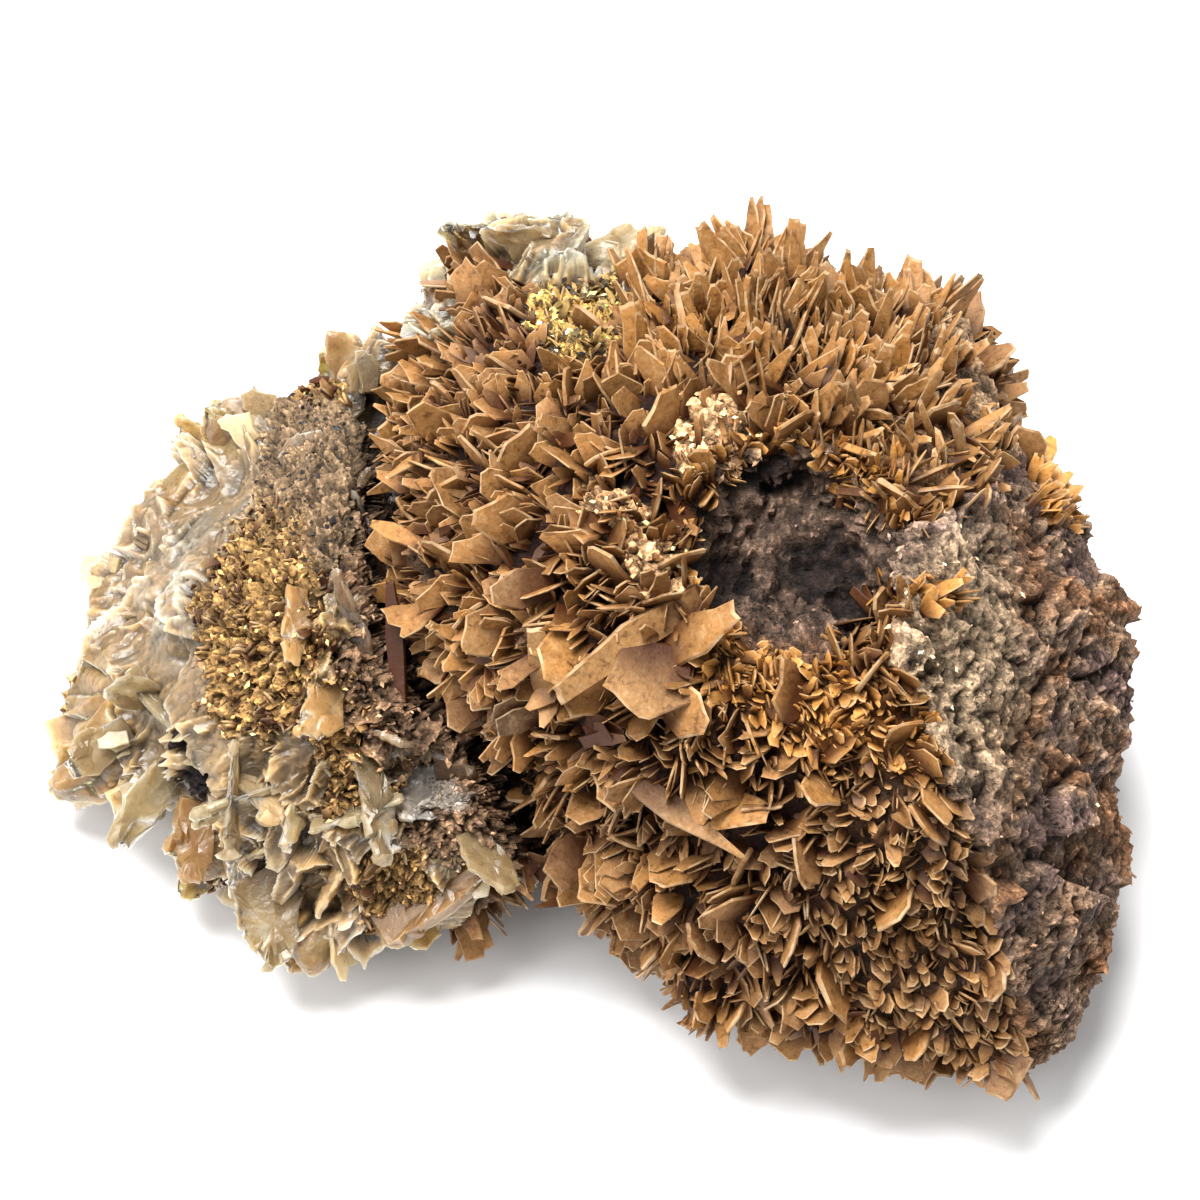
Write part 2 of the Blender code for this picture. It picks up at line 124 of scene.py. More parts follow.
# The crevice between the lobes, from its top to the notch at its foot (u, v)
CREVICE = [(-31, 46), (-35, 38), (-35, 25), (-35, 12), (-33, 2), (-27, -8), (-18, -16), (-12, -26), (-8, -38)]
CREVICE_DEPTH = 17.0
CREVICE_HALF_WIDTH = 4.5

# Hollows: middle (u, v), half sizes, depth
HOLLOWS = [
    (31.5, 13.5, 17.0, 16.0, 17.0),
    (43.0, 3.5, 6.0, 5.0, 6.0),
    (-29.0, -22.0, 7.0, 3.5, 7.0),
    (46.0, 33.0, 3.5, 3.0, 5.0),
]
# Ridges and lumps: middle (u, v), half sizes, height
LUMPS = [
    (-6.0, 66.0, 14.0, 4.0, 5.0),
    (-28.0, 55.0, 5.0, 6.0, 3.0),
    (-57.0, 4.0, 16.0, 12.0, 3.0),
    (57.0, -30.0, 5.0, 18.0, 3.0),
    (10.0, -21.0, 14.0, 5.0, 3.5),
]

# The underside: how full it is, and how far its middle lies from the outline's
UNDERSIDE_FULLNESS = 1.08
UNDERSIDE_SHIFT = (11.0, -11.0)
# The rock's own lumps: how long and how high
LUMP_SCALE = 13.0
LUMP_HEIGHT = 2.2

# How evenly the sheet through the landmarks bends, and how steeply each half meets the outline
SHEET_EVENNESS = 2.0
FRONT_POWER = 3
UNDERSIDE_POWER = 0.85

# Hearts that the crystals radiate from (u, v, w)
TALL_HEART = (28.0, 0.0, -24.0)
LOW_HEART = (-34.0, -6.0, -34.0)

# Crystals named one by one: middle of the root (u, v), heading in the picture and lift towards the viewer in
# degrees, turn of the face about the growth line, length, width, thickness
NAMED_CRYSTALS = [
    (1.0, -6.0, 215, 40, 14, 11.0, 9.0, 1.6),
    (12.0, -10.0, 318, 42, -28, 10.0, 9.0, 1.6),
    (12.5, -1.5, 35, 30, 28, 14.0, 8.0, 1.8),
    (-5.0, 2.0, 255, 38, 15, 12.0, 9.0, 1.6),
    (15.0, -27.0, 350, 35, 25, 16.0, 8.0, 1.6),
    (-12.0, 20.0, 180, 35, 10, 11.0, 9.0, 1.5),
    (-34.0, 5.0, 110, 15, 44, 24.0, 6.0, 2.2),
    (-39.0, -4.0, 104, 12, 25, 18.0, 6.0, 2.0),
    (-8.0, 64.0, 165, 25, 30, 15.0, 11.0, 4.0),
    (0.0, 64.0, 15, 15, 40, 12.0, 8.0, 3.5),
    (-16.0, 64.0, 150, 25, 25, 12.0, 9.0, 3.5),
    (-43.0, 43.0, 120, 20, 20, 6.0, 7.0, 2.5),
    (-61.0, 34.0, 118, 20, 20, 7.0, 7.0, 2.2),
    (-66.0, 33.0, 135, 15, 30, 6.0, 6.0, 2.2),
    (-86.0, -20.0, 200, 15, 20, 5.0, 10.0, 3.5),
    (-78.0, -26.0, 235, 10, 25, 6.0, 9.0, 3.0),
    (-66.0, -38.0, 240, 10, 25, 6.0, 8.0, 2.8),
    (-50.0, -50.0, 260, 10, 15, 5.0, 9.0, 2.8),
    (-30.0, -46.0, 275, 15, 20, 6.0, 9.0, 3.0),
    (-57.0, -22.0, 285, 45, 30, 13.0, 9.0, 1.8),
    (-50.0, -28.0, 250, 50, 60, 12.0, 8.0, 1.8),
    (-74.0, -10.0, 160, 45, 35, 12.0, 9.0, 2.4),
]

# The crystals' kinds: length, width and thickness, each from least to most, how far the root is buried, and
# how much the growth follows the surface's normal, leans outwards from the heart, and wanders
BLADE = ((4.5, 7.5), (6.5, 10.0), (1.5, 2.2), 4.0, 0.7, 0.45, 0.32)
PLATE = ((4.0, 7.0), (9.0, 15.0), (2.4, 3.8), 5.0, 0.4, 0.9, 0.30)
CRYSTAL_SPACING = 10.8
# How much thinner a blade's tip is than its root
EDGE_THINNING = 0.75
NAMED_BURIED = 4.0
CRYSTAL_SEED = 41
CRYSTAL_CANDIDATES = 9000

# How much a pale crystal's face turns towards the surface's normal
PLATE_FLATNESS = 1.2
# Crystals are as dense all over but where the surface is stretched more than in this share of all places
EVEN_SHARE = 0.95

# The left edge of the bare rock face, from its top down (v, u), and the v below which it is bare
ROCK_EDGE = [
    (33, 66), (23, 63), (21, 52), (13, 48), (-2, 48), (-13, 54), (-20, 57), (-35, 62), (-51, 66), (-69, 69),
]
ROCK_TOP = 30.0
# Where the pale lobe is smooth and waxy, without large crystals (u, v, half width, half height)
WAXY = [(-68.0, 14.0, 24.0, 27.0), (-50.0, 4.0, 15.0, 24.0)]
WAXY_SHARE = 0.4
# How far the pit's bare wall reaches past its half sizes, and how far down the far half the crystals go
PIT_REACH = 1.05
UNDERSIDE_CRUST = 0.45

# How far to either side a normal is measured, on the unit sphere
NORMAL_STEP = 0.012


def crevice_distance(u, v):
    """Distance in the picture from the crevice's line."""
    nearest = np.full(np.shape(u), 1e9)
    for (ua, va), (ub, vb) in zip(CREVICE, CREVICE[1:]):
        du, dv = ub - ua, vb - va
        along = np.clip(((u - ua) * du + (v - va) * dv) / (du * du + dv * dv), 0, 1)
        nearest = np.minimum(nearest, np.hypot(u - ua - along * du, v - va - along * dv))
    return nearest


def crevice_u(v):
    """The crevice's place at a height in the picture, which parts the two lobes."""
    line = sorted((y, x) for x, y in CREVICE)
    return np.interp(v, [y for y, _ in line], [x for _, x in line])


def depth_at(v, height):
    """The w of a point at this v that is this high above the table."""
    return (height - CENTRE_HEIGHT - v * math.cos(VIEW_ELEVATION)) / math.sin(VIEW_ELEVATION)


def thin_plate(landmarks):
    """A smooth sheet w(u, v) through the landmarks."""
    places = np.array([(u, v) for u, v, _ in landmarks], float)
    depths = np.array([depth_at(v, height) for _, v, height in landmarks])
    count = len(places)

    def bend(squared):
        return 0.5 * squared * np.log(squared + 1e-9)

    gaps = ((places[:, None] - places[None]) ** 2).sum(-1)
    flat = np.column_stack([np.ones(count), places])
    system = np.block([[bend(gaps) + SHEET_EVENNESS * np.eye(count), flat], [flat.T, np.zeros((3, 3))]])
    weights = np.linalg.solve(system, np.concatenate([depths, np.zeros(3)]))

    def sheet(u, v):
        squared = (u[:, None] - places[:, 0]) ** 2 + (v[:, None] - places[:, 1]) ** 2
        slope = weights[count] + weights[count + 1] * u + weights[count + 2] * v
        return bend(squared) @ weights[:count] + slope

    return sheet


# The side that the viewer sees, before its crevice, hollows and lumps
SHEET = thin_plate(LANDMARKS)


def bell(u, v, spot):
    """A smooth rise of 1 in the middle of a spot, (u, v, half width, half height, ...)."""
    middle_u, middle_v, half_u, half_v = spot[:4]
    return np.exp(-(((u - middle_u) / half_u) ** 2 + ((v - middle_v) / half_v) ** 2) ** 2)


def surface(directions):
    """The surface in the picture frame, for unit directions whose third number points at the viewer."""
    across, up, near = directions.T
    rim_share = np.hypot(across, up)
    angle = np.degrees(np.arctan2(up, across)) % 360
    corners = np.array(OUTLINE, float) - OUTLINE_CENTRE
    corner_angles = np.degrees(np.arctan2(corners[:, 1], corners[:, 0])) % 360
    order = np.argsort(corner_angles)
    reach = np.interp(angle, corner_angles[order], np.hypot(*corners.T)[order], period=360)
    edge_angles, edge_heights, edge_crystals = zip(*EDGE)
    reach = reach - np.interp(angle, edge_angles, edge_crystals, period=360)
    safe = np.maximum(rim_share, 1e-9)
    far = np.maximum(-near, 0)
    u = OUTLINE_CENTRE[0] + UNDERSIDE_SHIFT[0] * far**2 + reach * rim_share * across / safe
    v = OUTLINE_CENTRE[1] + UNDERSIDE_SHIFT[1] * far**2 + reach * rim_share * up / safe
    edge = depth_at(v, np.interp(angle, edge_angles, edge_heights, period=360))

    face = SHEET(u, v)
    face = face - CREVICE_DEPTH * np.exp(-((crevice_distance(u, v) / CREVICE_HALF_WIDTH) ** 2))
    for hollow in HOLLOWS:
        face = face - hollow[4] * bell(u, v, hollow)
    for lump in LUMPS:
        face = face + lump[4] * bell(u, v, lump)
    front = edge + (face - edge) * (1 - (1 - np.maximum(near, 0)) ** FRONT_POWER)

    floor = depth_at(v, 0.0)
    back = edge + (floor - edge) * UNDERSIDE_FULLNESS * far**UNDERSIDE_POWER
    return np.column_stack([u, v, np.where(near >= 0, front, back)])


def lumpy(points, normals):
    """The surface with the rock's own lumps on it."""
    rise = [noise.fractal(p / LUMP_SCALE, 0.9, 2.2, 3) for p in points]
    return points + normals * (LUMP_HEIGHT * np.array(rise))[:, None]


def frame_at(directions):
    """Points and outward normals of the smooth surface at unit directions."""
    directions = np.asarray(directions, float)
    helper = np.where(np.abs(directions[:, 2:]) < 0.9, [[0, 0, 1.0]], [[1.0, 0, 0]])
    first = np.cross(directions, helper)
    first /= np.linalg.norm(first, axis=1)[:, None]
    second = np.cross(directions, first)

    def moved(way, sign):
        bent = directions + sign * NORMAL_STEP * way
        return surface(bent / np.linalg.norm(bent, axis=1)[:, None])

    normals = np.cross(moved(first, 1) - moved(first, -1), moved(second, 1) - moved(second, -1))
    lengths = np.maximum(np.linalg.norm(normals, axis=1), 1e-12)
    return surface(directions), normals / lengths[:, None], lengths


def unit(vector):
    """A vector made one long."""
    vector = np.asarray(vector, float)
    return vector / np.linalg.norm(vector)


def is_bare(direction, point):
    """Whether a place has no large crystals: the rock, the pit, the waxy slope and much of the underside."""
    u, v, _ = point
    line = sorted(ROCK_EDGE)
    if direction[2] < -UNDERSIDE_CRUST:
        return True
    if u > np.interp(v, [y for y, _ in line], [x for _, x in line]) and v < ROCK_TOP:
        return True
    if direction[2] > -0.3 and max(bell(u, v, place) for place in WAXY) > WAXY_SHARE:
        return True
    pit = HOLLOWS[0]
    return math.hypot((u - pit[0]) / pit[2], (v - pit[1]) / pit[3]) < PIT_REACH and direction[2] > 0


def face_depth(u, v):
    """The w of the side that the viewer sees, found by stepping outwards along the sphere."""
    offset = np.array([u, v]) - OUTLINE_CENTRE
    across, up = offset / np.linalg.norm(offset)
    shares = np.linspace(0, 0.999, 400)
    directions = np.column_stack([across * shares, up * shares, np.sqrt(1 - shares**2)])
    points = surface(directions)
    return float(points[np.argmin(np.hypot(points[:, 0] - u, points[:, 1] - v)), 2])


def to_row(points):
    """From the picture frame to the part's own, in metres. What is nearer looks larger, so it is drawn in."""
    u, v, w = np.asarray(points, float).T
    nearness = 1 - w / VIEW_DISTANCE
    return place_in_row(u * nearness, VIEW_AIM_V + (v - VIEW_AIM_V) * nearness, w)


def place_in_row(u, v, w):
    """A point of the picture frame as it truly lies, in metres."""
    sine, cosine = math.sin(VIEW_ELEVATION), math.cos(VIEW_ELEVATION)
    back = v * sine - w * cosine - CENTRE_BACK
    return np.column_stack([u - CENTRE_RIGHT, back, CENTRE_HEIGHT + v * cosine + w * sine]) * MM


# Colours are this much deeper than they look, because the lights are that much stronger
DEEPER = 0.6


def colour(*screen):
    """A colour for the shaders, from red, green and blue as they look on a screen, 0 to 255."""
    linear = (((part / 255 + 0.055) / 1.055) ** 2.4 if part > 10 else part / 3294 for part in screen)
    return tuple(part * DEEPER for part in linear)


# Zones of the side that the viewer sees: spots (middle u, middle v, half width, half height, turn in degrees)
ZONES = {
    "crest": [(-9, 66, 19, 7.5, -5), (-28, 57, 6, 9, 0)],
    "crust": [(63, 46, 7, 12, 25), (69, 36, 5, 7, 0)],
    "pit": [(32, 15, 17, 17.5, 0)],
    # pit_dark: painted shade on the pit's bottom, its small hollow and the walls that face away from the
    # light
    "pit_dark": [(37, 11, 7.5, 6, -10), (43, 3.5, 3, 3.5, 0), (27, 27, 6, 4, 20), (20, 10, 4, 6, 0)],
    "crushed": [(17, 35, 6, 8, 0), (9, 14, 5.5, 11, 38), (24, 31, 8, 4, 0), (1, 22, 5, 4, 0)],
    "yellow": [(-4, 57, 7, 9.5, -20)],
    "gold": [(34, -9, 23, 9, -22)],
    "brown": [(52, -46, 17, 27, 20)],
    "laths": [(50, 32, 15, 10, 0), (40, 24, 6, 5, 0)],
    "upright": [(31, 53, 36, 14, -8)],
    "grey": [(-19, -6, 9, 12, 25)],
    "druse": [(-45, 24, 11, 17, 15)],
    "matrix": [
        (-19, -19, 26, 7.5, -65), (-36, 8, 6, 15, 0), (-30, 34, 5, 12, 0), (-35, -10, 8, 12, 20),
        (-25, -31, 8, 7, 0),
    ],
    "ochre": [
        (-56, 2, 11, 19, 0), (-43, -12, 6, 7, 0), (-34, -41, 6, 7, 20), (-42, -24, 4, 5, 0),
        (-36, -28, 3, 3, 0), (-46, 41, 5, 3, 0),
    ],
    "honey": [
        (-86, -16, 7, 16, 0), (-67, -38, 6, 8, 0), (-22, -45, 12, 6, 28), (-62, 37, 5, 5, 0),
        (-84, 10, 3, 6, 0), (-71, 29, 3, 4, 0), (-42, 46, 5, 4, 0), (-50, -52, 9, 4, 0), (-28, 60, 4, 5, 0),
    ],
    "frosted": [(-63, 16, 14, 13, 45), (-70, -2, 8, 14, -20), (-48, 38, 10, 6, 35)],
    "hematite": [(-67, -22, 2.6, 5, 25), (-69, -16.5, 2.5, 2.5, 0)],
    "white": [(-71, 9.5, 4.0, 7.0, -10)],
    "glassy": [(-29, -24, 7, 3, -10)],
}

# The ground's colour, and the zones' colours in the order in which they are laid over it
# A dark brown that is partly the ground's own and partly painted shade of the gaps between the blades
SOIL_AND_GAP_SHADE = colour(44, 22, 10)
GROUND_COLOURS = {
    "brown": colour(66, 42, 24), "gold": colour(106, 66, 28), "laths": colour(112, 82, 56),
    "grey": colour(112, 84, 60), "crushed": colour(190, 150, 108), "rock": colour(124, 100, 80),
    "rock_brown": colour(112, 80, 56), "rock_violet": colour(100, 80, 72), "rock_pale": colour(150, 127, 101),
    # pit_dark: painted shade in the pit
    "crust": colour(140, 112, 84), "pit": colour(86, 68, 56), "pit_dark": colour(40, 29, 25),
    "pale": colour(146, 122, 88), "frosted": colour(126, 112, 90), "white": colour(166, 158, 140),
    "crest": colour(122, 114, 92), "veil": colour(150, 122, 86), "honey": colour(152, 124, 78),
    "amber": colour(152, 110, 58), "druse": colour(126, 103, 78), "ochre": colour(138, 106, 62),
    "matrix": colour(112, 86, 64), "glassy": colour(150, 138, 124), "hematite": colour(34, 26, 26),
    # crevice: painted shade along the crevice between the lobes
    "yellow": colour(224, 176, 100), "crevice": colour(34, 20, 12),
}

# How often the ball that becomes the ground is split, before the parts that are seen most are split further
GROUND_SUBDIVISIONS = 7
# The surface, which sets how many cells a pattern has, in square millimetres
SURFACE_AREA = 90000.0
# Sizes of the pale lobe's cleavage cells, and of the rock's ledges, chips and crumbs
CELL_SIZE = 13.5
SMALL_CELL_SIZE = 5.5
LEDGE_SIZE = 13.0
CHIP_SIZE = 2.6
CRUMB_SIZE = 1.5
# Place that the tan blades lean away from (u, v, w)
BLADE_HEART = (28.0, 8.0, -2.0)
# Plates that stand out in the picture: root (u, v), heading, lift, turn, length, width, thickness, tone
SHOWN_PLATES = [
    (14.5, 6.0, 212, 12, 12, 27.0, 6.0, 3.2, "tan"),
    (9.0, -3.0, 262, 22, 8, 11.0, 16.0, 0.9, "tan"),
    (-8.5, -9.5, 96, 30, 10, 13.5, 5.5, 2.4, "tan"),
    (5.0, -23.0, 325, 10, 20, 23.0, 5.0, 1.1, "tan"),
    (-15.5, 4.0, 215, 25, 10, 10.0, 8.0, 1.0, "tan"),
    (-21.0, -7.0, 250, 20, 15, 9.0, 8.0, 0.9, "grey"),
    (-10.0, 9.0, 190, 25, 5, 9.0, 7.0, 0.9, "grey"),
    (-33.0, -9.0, 95, 2, 20, 19.0, 3.2, 1.5, "dark"),
    (-3.0, -34.0, 225, 20, 10, 8.0, 8.0, 1.0, "grey"),
]
# How far the roots of these plates are buried, and how far their middles stand above the surface
PLATE_ROOT = 3.0
PLATE_RISE = 1.0
# Plates of the pale lobe that stand out, in the same form
SHOWN_SHEETS = [
    (-56.0, -41.0, 300, 8, 12, 13.0, 13.0, 1.8, "cream"),
    (-34.0, -47.0, 38, 10, 25, 21.0, 9.0, 4.0, "honey"),
    (-67.0, -29.0, 262, 8, 15, 11.0, 8.0, 2.6, "honey"),
    (-60.0, -20.0, 267, 8, 78, 21.0, 9.0, 1.0, "cream"),
    (-76.0, -7.0, 308, 16, 40, 12.0, 4.0, 1.3, "pale"),
    (-80.0, -16.0, 215, 10, 15, 10.0, 7.0, 1.2, "cream"),
    (-73.0, -24.0, 235, 12, 25, 12.0, 8.0, 1.0, "pale"),
    (-62.0, 33.0, 112, 12, 10, 6.5, 5.5, 1.4, "honey"),
    (-42.0, 45.0, 100, 12, 10, 6.0, 6.0, 1.4, "honey"),
    (-38.0, -22.0, 285, 14, 35, 15.0, 7.0, 0.9, "cream"),
    (-20.0, -34.0, 300, 20, 30, 9.0, 8.0, 1.2, "cream"),
    (-50.0, 6.0, 268, 24, 20, 11.0, 5.0, 1.2, "orange"),
    (-45.0, -9.0, 255, 30, 20, 9.0, 8.0, 1.0, "orange"),
    (-56.0, -26.0, 200, 16, 60, 12.0, 6.0, 0.9, "pale"),
    (-45.0, -30.0, 15, 16, 65, 13.0, 6.0, 0.9, "pale"),
]
BLADE_TONES = {"tan": colour(178, 132, 82), "grey": colour(160, 118, 78), "dark": colour(96, 60, 28)}
SHEET_TONES = {
    "cream": colour(140, 118, 84), "pale": colour(154, 136, 102), "honey": colour(154, 116, 70),
    "orange": colour(190, 142, 86),
}
# Tufts of tan blades on the bare rock and the pit's wall: middle (u, v), half sizes, turn in degrees
TUFTS = [(75.5, 24.0, 3.5, 6.5, 15), (44.0, 27.0, 6.0, 6.5, 20), (54.5, 7.5, 5.0, 2.5, 0)]
# Where no blade is rooted, so that none leans over the yellow patch (u, v, half sizes, turn)
CLEAR = (-1.0, 52.0, 7.5, 9.0, -20)
# Directions (along the streaks, across them, out) of the pale lobe's cleavage, stretched along the first
STREAK_AXES = np.array([[0.19, 0.16, 0.0], [-0.64, 0.77, 0.0], [0.0, 0.0, 1.0]])
# The same for the pale lobe's cells, which are longer along the streaks
PALE_AXES = np.array([[0.46, 0.39, 0.0], [-0.64, 0.77, 0.0], [0.0, 0.0, 1.0]])
# The same for the bare rock, which is sheared downwards
ROCK_AXES = np.array([[0.87, 0.5, 0.0], [-0.13, 0.22, 0.0], [0.0, 0.0, 1.0]])
# Place that the pale lobe's walls and plates lean away from, and how far for each millimetre that they rise
PALE_HEART = (-38.0, 4.0, 0.0)
PALE_LEAN = 0.4
# Painted shade in the ground's hollows and painted highlight on its ridges: how much darker and lighter, for
# each millimetre
HOLLOW_SHADE_RIDGE_LIGHT = 1.2
# How bright a dark speck is beside the ground that it lies on
SPECK_LIGHT = 0.06
# How far the specks in the yellow patch stand out of the ground, so that its shards don't cover them
SPECK_RISE = 0.9
# How much lighter a pale plate is than the ground under it
PLATE_LIGHT = 1.08
# The ground to the right of this (u) is counted as bare rock
ROCK_SIDE = 40.0
# The table: half its width and how far below the specimen it lies, in metres
TABLE_HALF = 4.0
TABLE_GAP = 0.00005
# How far a crystal's tip stays above the table, in millimetres, and by what share of its reach more where it
# is lower than NEAR_TABLE, in metres
LEAST_CLEAR = 0.3
REACH_SHARE = 0.35
NEAR_TABLE = 0.012
# The height that the lights are aimed at, in metres
LIGHT_AIM = 0.04
# Lights: name, place in metres, size across, share of the key light's power
SOFT_LIGHTS = [
    ("key_light", (-0.30, 0.30, 1.4), 0.9, 1.0),
    ("fill_light", (-0.9, -0.5, 0.9), 1.0, 0.18),
]


def spot(u, v, shape):
    """1 inside an ellipse, falling to 0 just outside it."""
    middle_u, middle_v, half_u, half_v, turn = shape
    turn = math.radians(turn)
    du, dv = u - middle_u, v - middle_v
    along = (du * math.cos(turn) + dv * math.sin(turn)) / half_u
    across = (dv * math.cos(turn) - du * math.sin(turn)) / half_v
    return np.clip(3.0 * (1.15 - np.hypot(along, across)), 0, 1)


def in_spots(u, v, shapes):
    """1 inside any of the ellipses, falling to 0 just outside them."""
    return np.max([spot(u, v, shape) for shape in shapes], axis=0)


def most(shares, *names):
    """The largest of some zones' shares at each place."""
    return np.max([shares[name] for name in names], axis=0)


def noise_at(points, size, seed=0.0):
    """Smooth noise from -1 to 1, with features about `size` long."""
    shift = Vector((seed, -seed, 0.5 * seed))
    return np.array([noise.noise(Vector(p) / size + shift) for p in points])


def turbulence_at(points, size, octaves, seed=0.0):
    """Rough noise, in layers that are each half as long as the one before."""
    shift = Vector((seed, -seed, 0.5 * seed))
    return np.array([noise.fractal(Vector(p) / size + shift, 0.8, 2.1, octaves) for p in points])


def nearest_tree(places):
    """A tree for finding which of some places is nearest to a point."""
    tree = kdtree.KDTree(len(places))
    for index, place in enumerate(places):
        tree.insert(place, index)
    tree.balance()
    return tree


def cells_at(points, size, seed, bend=0.0, axes=None):
    """The surface parted into cells about `size` across, with wavy borders where `bend` isn't 0.

    It gives each place's share of the way from its cell's middle (0) to the border (1), its distance from the
    border, and its height on the cell's own slanted face.
    """
    rng = np.random.default_rng(seed)
    count = int(SURFACE_AREA / size**2)
    middles = frame_at(rows_made_unit(rng.normal(size=(count, 3))))[0]
    if bend:
        swirls = np.array([noise.noise_vector(Vector(p) / (1.2 * size)) for p in points])
        points = points + bend * swirls
    if axes is not None:
        points, middles = points @ axes.T, middles @ axes.T
    slopes = rng.normal(size=(count, 3))
    steps = rng.uniform(-0.5, 0.5, count) * size
    tree = nearest_tree(middles)
    found = [tree.find_n(p, 2) for p in points]
    owner = np.array([pair[0][1] for pair in found])
    near = np.array([pair[0][2] for pair in found])
    next_near = np.array([pair[1][2] for pair in found])
    slant = ((points - middles[owner]) * slopes[owner]).sum(axis=1) + steps[owner]
    return near / next_near, 0.5 * (next_near - near), slant


def zones_of(points, directions):
    """Each zone's share of each place, from 0 to 1, with ragged borders."""
    u = points[:, 0] + 3.2 * turbulence_at(points, 6.0, 3, 3.0)
    v = points[:, 1] + 3.2 * turbulence_at(points, 6.0, 3, 9.0)
    seen = np.clip(0.5 + 8 * directions[:, 2], 0, 1)
    unseen = 1 - seen
    shares = {name: in_spots(u, v, shapes) * seen for name, shapes in ZONES.items()}
    line = sorted(ROCK_EDGE)
    rock_edge = np.interp(v, [y for y, _ in line], [x for _, x in line])
    round_top = np.clip(3.0 + 8 * directions[:, 2], 0, 1)
    shares["crest"] = in_spots(u, v, ZONES["crest"]) * round_top
    pale_seen = np.clip(0.5 + (crevice_u(v) - u) * 0.7, 0, 1)
    pale_unseen = np.clip(0.5 + (-22 - u) * 0.4, 0, 1)
    shares["pale"] = np.maximum(seen * pale_seen + unseen * pale_unseen, shares["crest"])
    tall = 1 - shares["pale"]
    shares["rock"] = np.clip(0.5 + (u - rock_edge) * 0.8, 0, 1) * (v < 33)
    patches = turbulence_at(points, 22.0, 2, 5.0)
    under = np.clip((-0.45 - directions[:, 2]) * 8, 0, 1)
    shares["rock"] = np.maximum(shares["rock"], unseen * np.clip((patches - 0.42) * 6, 0, 1))
    shares["brown"] = np.maximum(shares["brown"], unseen * np.clip((-0.3 - patches) * 8, 0, 1))
    shares["crust"] = np.maximum(shares["crust"], 0.8 * under)
    for name in ("rock", "crust", "pit", "pit_dark", "crushed", "yellow", "gold", "brown", "laths", "upright",
                 "grey"):
        shares[name] = shares[name] * tall
    shares["honey"] = np.maximum(shares["honey"], unseen * np.clip((patches - 0.1) * 5, 0, 1))
    shares["ochre"] = np.maximum(shares["ochre"], unseen * np.clip((-0.25 - patches) * 6, 0, 1))
    for name in ("druse", "ochre", "honey", "frosted", "white", "hematite", "glassy"):
        shares[name] = shares[name] * shares["pale"]
    shares["veil"] = shares["pale"] * np.clip(0.5 + 2.2 * turbulence_at(points, 8.0, 3, 13.0), 0, 1) * 0.8
    shares["amber"] = shares["honey"] * np.clip(0.3 + 2.0 * turbulence_at(points, 6.0, 3, 15.0), 0, 1) * 0.7
    shares["rock_pale"] = shares["rock"] * np.clip(2.2 - np.hypot(u - 59, (v + 4) / 2.2) / 6, 0, 1) * seen
    grime = turbulence_at(points, 12.0, 3, 23.0)
    shares["rock_brown"] = shares["rock"] * np.clip(3.0 * grime, 0, 1)
    shares["rock_violet"] = shares["rock"] * np.clip(-3.0 * grime - 0.1, 0, 1)
    # Painted shade: the ground darkens towards the crevice's line, where shade falls between the lobes
    shares["crevice"] = np.exp(-((crevice_distance(points[:, 0], points[:, 1]) / 5.0) ** 2)) * seen
    return shares


